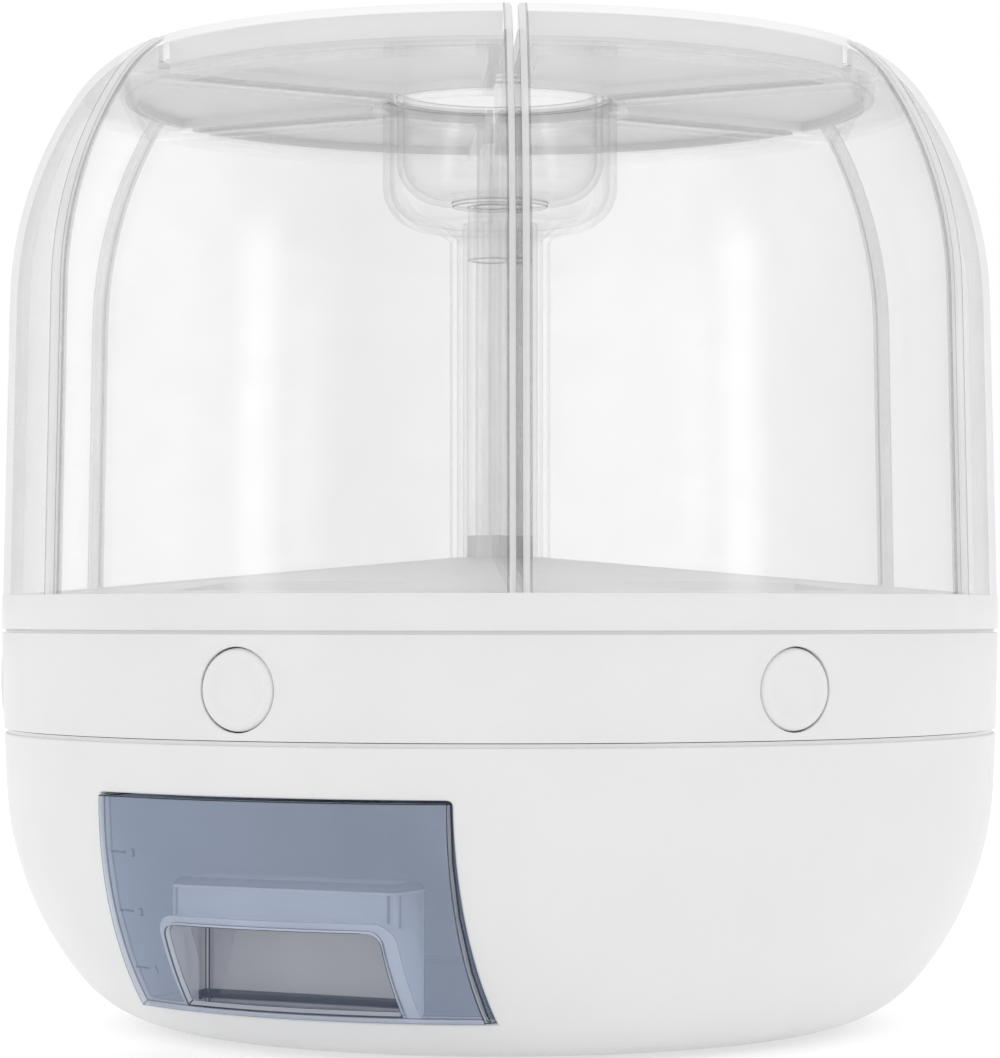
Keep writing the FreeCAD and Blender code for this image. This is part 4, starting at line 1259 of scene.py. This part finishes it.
floor_mesh = bpy.data.meshes.new("floor")
floor_mesh.from_pydata([(x, y, 0) for x, y in ((-1, -1), (1, -1), (1, 1), (-1, 1))], [], [(0, 1, 2, 3)])
floor_mesh.transform(Matrix.Scale(FLOOR_HALF, 4))
floor = bpy.data.objects.new("floor", floor_mesh)
bpy.context.scene.collection.objects.link(floor)

floor_finish, nodes, links, output = new_finish("pale floor")
paint = nodes.new("ShaderNodeBsdfDiffuse")
clouds = cloudiness(nodes, links, 0.25, 0, 1)
links.new(colour_between(nodes, links, clouds, grey(0.80), grey(0.82)), paint.inputs["Color"])
lift = nodes.new("ShaderNodeEmission")
rays = nodes.new("ShaderNodeLightPath")
seen = math_node(nodes, links, "MAXIMUM", rays.outputs["Is Camera Ray"], rays.outputs["Is Glossy Ray"])
strength = nodes.new("ShaderNodeMapRange")
strength.inputs["To Min"].default_value = FLOOR_GLOW
strength.inputs["To Max"].default_value = FLOOR_LIFT
links.new(seen, strength.inputs["Value"])
links.new(strength.outputs["Result"], lift.inputs["Strength"])
together = nodes.new("ShaderNodeAddShader")
links.new(paint.outputs["BSDF"], together.inputs[0])
links.new(lift.outputs["Emission"], together.inputs[1])
links.new(together.outputs["Shader"], output.inputs["Surface"])
floor_mesh.materials.append(floor_finish)
print("the floor glows with", FLOOR_GLOW, "and looks as if with", FLOOR_LIFT)

# %% [markdown]
# ## The room
# The room is white only for the rays that come from the camera, a mirror or a clear wall, and a little
# greyer for the light that falls on the object. So the ground stays white and the white plastic keeps
# its shading. A box of real walls could do the same, but it would get in the way of the lamps.

# %% Room
ROOM_LIGHT = 0.86

room = bpy.data.worlds.new("white room")
bpy.context.scene.world = room
room.use_nodes = True
nodes, links = room.node_tree.nodes, room.node_tree.links
nodes.clear()
rays = nodes.new("ShaderNodeLightPath")
glossy, through = rays.outputs["Is Glossy Ray"], rays.outputs["Is Transmission Ray"]
mirrored = math_node(nodes, links, "MAXIMUM", glossy, through)
seen = math_node(nodes, links, "MAXIMUM", rays.outputs["Is Camera Ray"], mirrored)
level = nodes.new("ShaderNodeMapRange")
level.inputs["To Min"].default_value = ROOM_LIGHT
level.inputs["To Max"].default_value = 1.0
links.new(seen, level.inputs["Value"])
background = nodes.new("ShaderNodeBackground")
background.inputs["Color"].default_value = (1, 1, 1, 1)
links.new(level.outputs["Result"], background.inputs["Strength"])
output = nodes.new("ShaderNodeOutputWorld")
links.new(background.outputs["Background"], output.inputs["Surface"])
print("the room gives", ROOM_LIGHT, "to the object and white to the camera")

# %% [markdown]
# ## The lamps
# Two tall lamps give the upright soft highlights on the bins, and a broad one above keeps the lids bright.
# A plain area lamp is as bright at its edge as in its middle, and its mirror image on clear plastic is a
# hard rectangle, so each lamp fades towards its edges.

# %% Lamps
CAMERA_SIDE = 26.4
LAMP_SPREAD = 53
TALL_LAMP = (0.45, 1.3)
AIM_HEIGHT = 0.15


def fade_to_edges(light):
    """Makes a lamp brightest in its middle, so that its mirror image has no hard border."""
    light.use_nodes = True
    nodes, links = light.node_tree.nodes, light.node_tree.links
    place = nodes.new("ShaderNodeNewGeometry")
    split = nodes.new("ShaderNodeSeparateXYZ")
    links.new(place.outputs["Parametric"], split.inputs["Vector"])
    hills = []
    for side in ("X", "Y"):
        from_edge = math_node(nodes, links, "PINGPONG", split.outputs[side], 0.5)
        smooth = nodes.new("ShaderNodeMapRange")
        smooth.interpolation_type = "SMOOTHSTEP"
        smooth.inputs["From Max"].default_value = 0.45
        links.new(from_edge, smooth.inputs["Value"])
        hills.append(smooth.outputs["Result"])
    both = math_node(nodes, links, "MULTIPLY", *hills)
    links.new(both, nodes["Emission"].inputs["Strength"])


def soft_lamp(name, degrees, distance, height, size, power):
    """An area lamp at an angle round the object, aimed at its middle."""
    light = bpy.data.lights.new(name, "AREA")
    light.shape = "RECTANGLE"
    light.size, light.size_y = size
    light.energy = power
    fade_to_edges(light)
    lamp = bpy.data.objects.new(name, light)
    bpy.context.scene.collection.objects.link(lamp)
    place = Vector(round_axis(distance, degrees, height))
    lamp.location = place
    lamp.rotation_euler = (Vector((0, 0, AIM_HEIGHT)) - place).to_track_quat("-Z", "Y").to_euler()
    return lamp


soft_lamp("left lamp", CAMERA_SIDE - LAMP_SPREAD, 1.6, 0.35, TALL_LAMP, 2.4)
soft_lamp("right lamp", CAMERA_SIDE + LAMP_SPREAD, 1.6, 0.35, TALL_LAMP, 2.4)
soft_lamp("top lamp", CAMERA_SIDE, 0.6, 1.8, (1.2, 1.2), 3)

# %% [markdown]
# ## Camera
# The view was worked out from the round rims, the buttons and the drawer: the camera is level with the
# middle of the object, and the picture is shifted so that the object fills the frame without leaning
# lines.

# %% Camera
CAMERA_DISTANCE = 1.120
EYE_HEIGHT = 0.1311
FOCAL_PIXELS = 3448
PICTURE_HEIGHT = 1058
HORIZON_ROW = 615
SENSOR = 36.0

lens = bpy.data.cameras.new("camera")
lens.sensor_fit = "VERTICAL"
lens.sensor_height = SENSOR
lens.lens = FOCAL_PIXELS / PICTURE_HEIGHT * SENSOR
lens.shift_y = (HORIZON_ROW - PICTURE_HEIGHT / 2) / PICTURE_HEIGHT
camera = bpy.data.objects.new("camera", lens)
bpy.context.scene.collection.objects.link(camera)
camera.location = round_axis(CAMERA_DISTANCE, CAMERA_SIDE, EYE_HEIGHT)
camera.rotation_euler = (math.radians(90), 0, math.radians(CAMERA_SIDE))
bpy.context.scene.camera = camera
print("lens", round(lens.lens, 1), "mm")

# %% [markdown]
# ## Many clear walls
# A ray that looks through the bins passes a dozen clear surfaces before it reaches the room, so the
# renderer has to allow that many. Colours are shown as they are written, with the Standard view.

# %% Render settings
scene = bpy.context.scene
scene.view_settings.view_transform = "Standard"
scene.cycles.transparent_max_bounces = 48
scene.cycles.max_bounces = 8
scene.cycles.use_denoising = True
print("up to", scene.cycles.transparent_max_bounces, "clear surfaces in line")
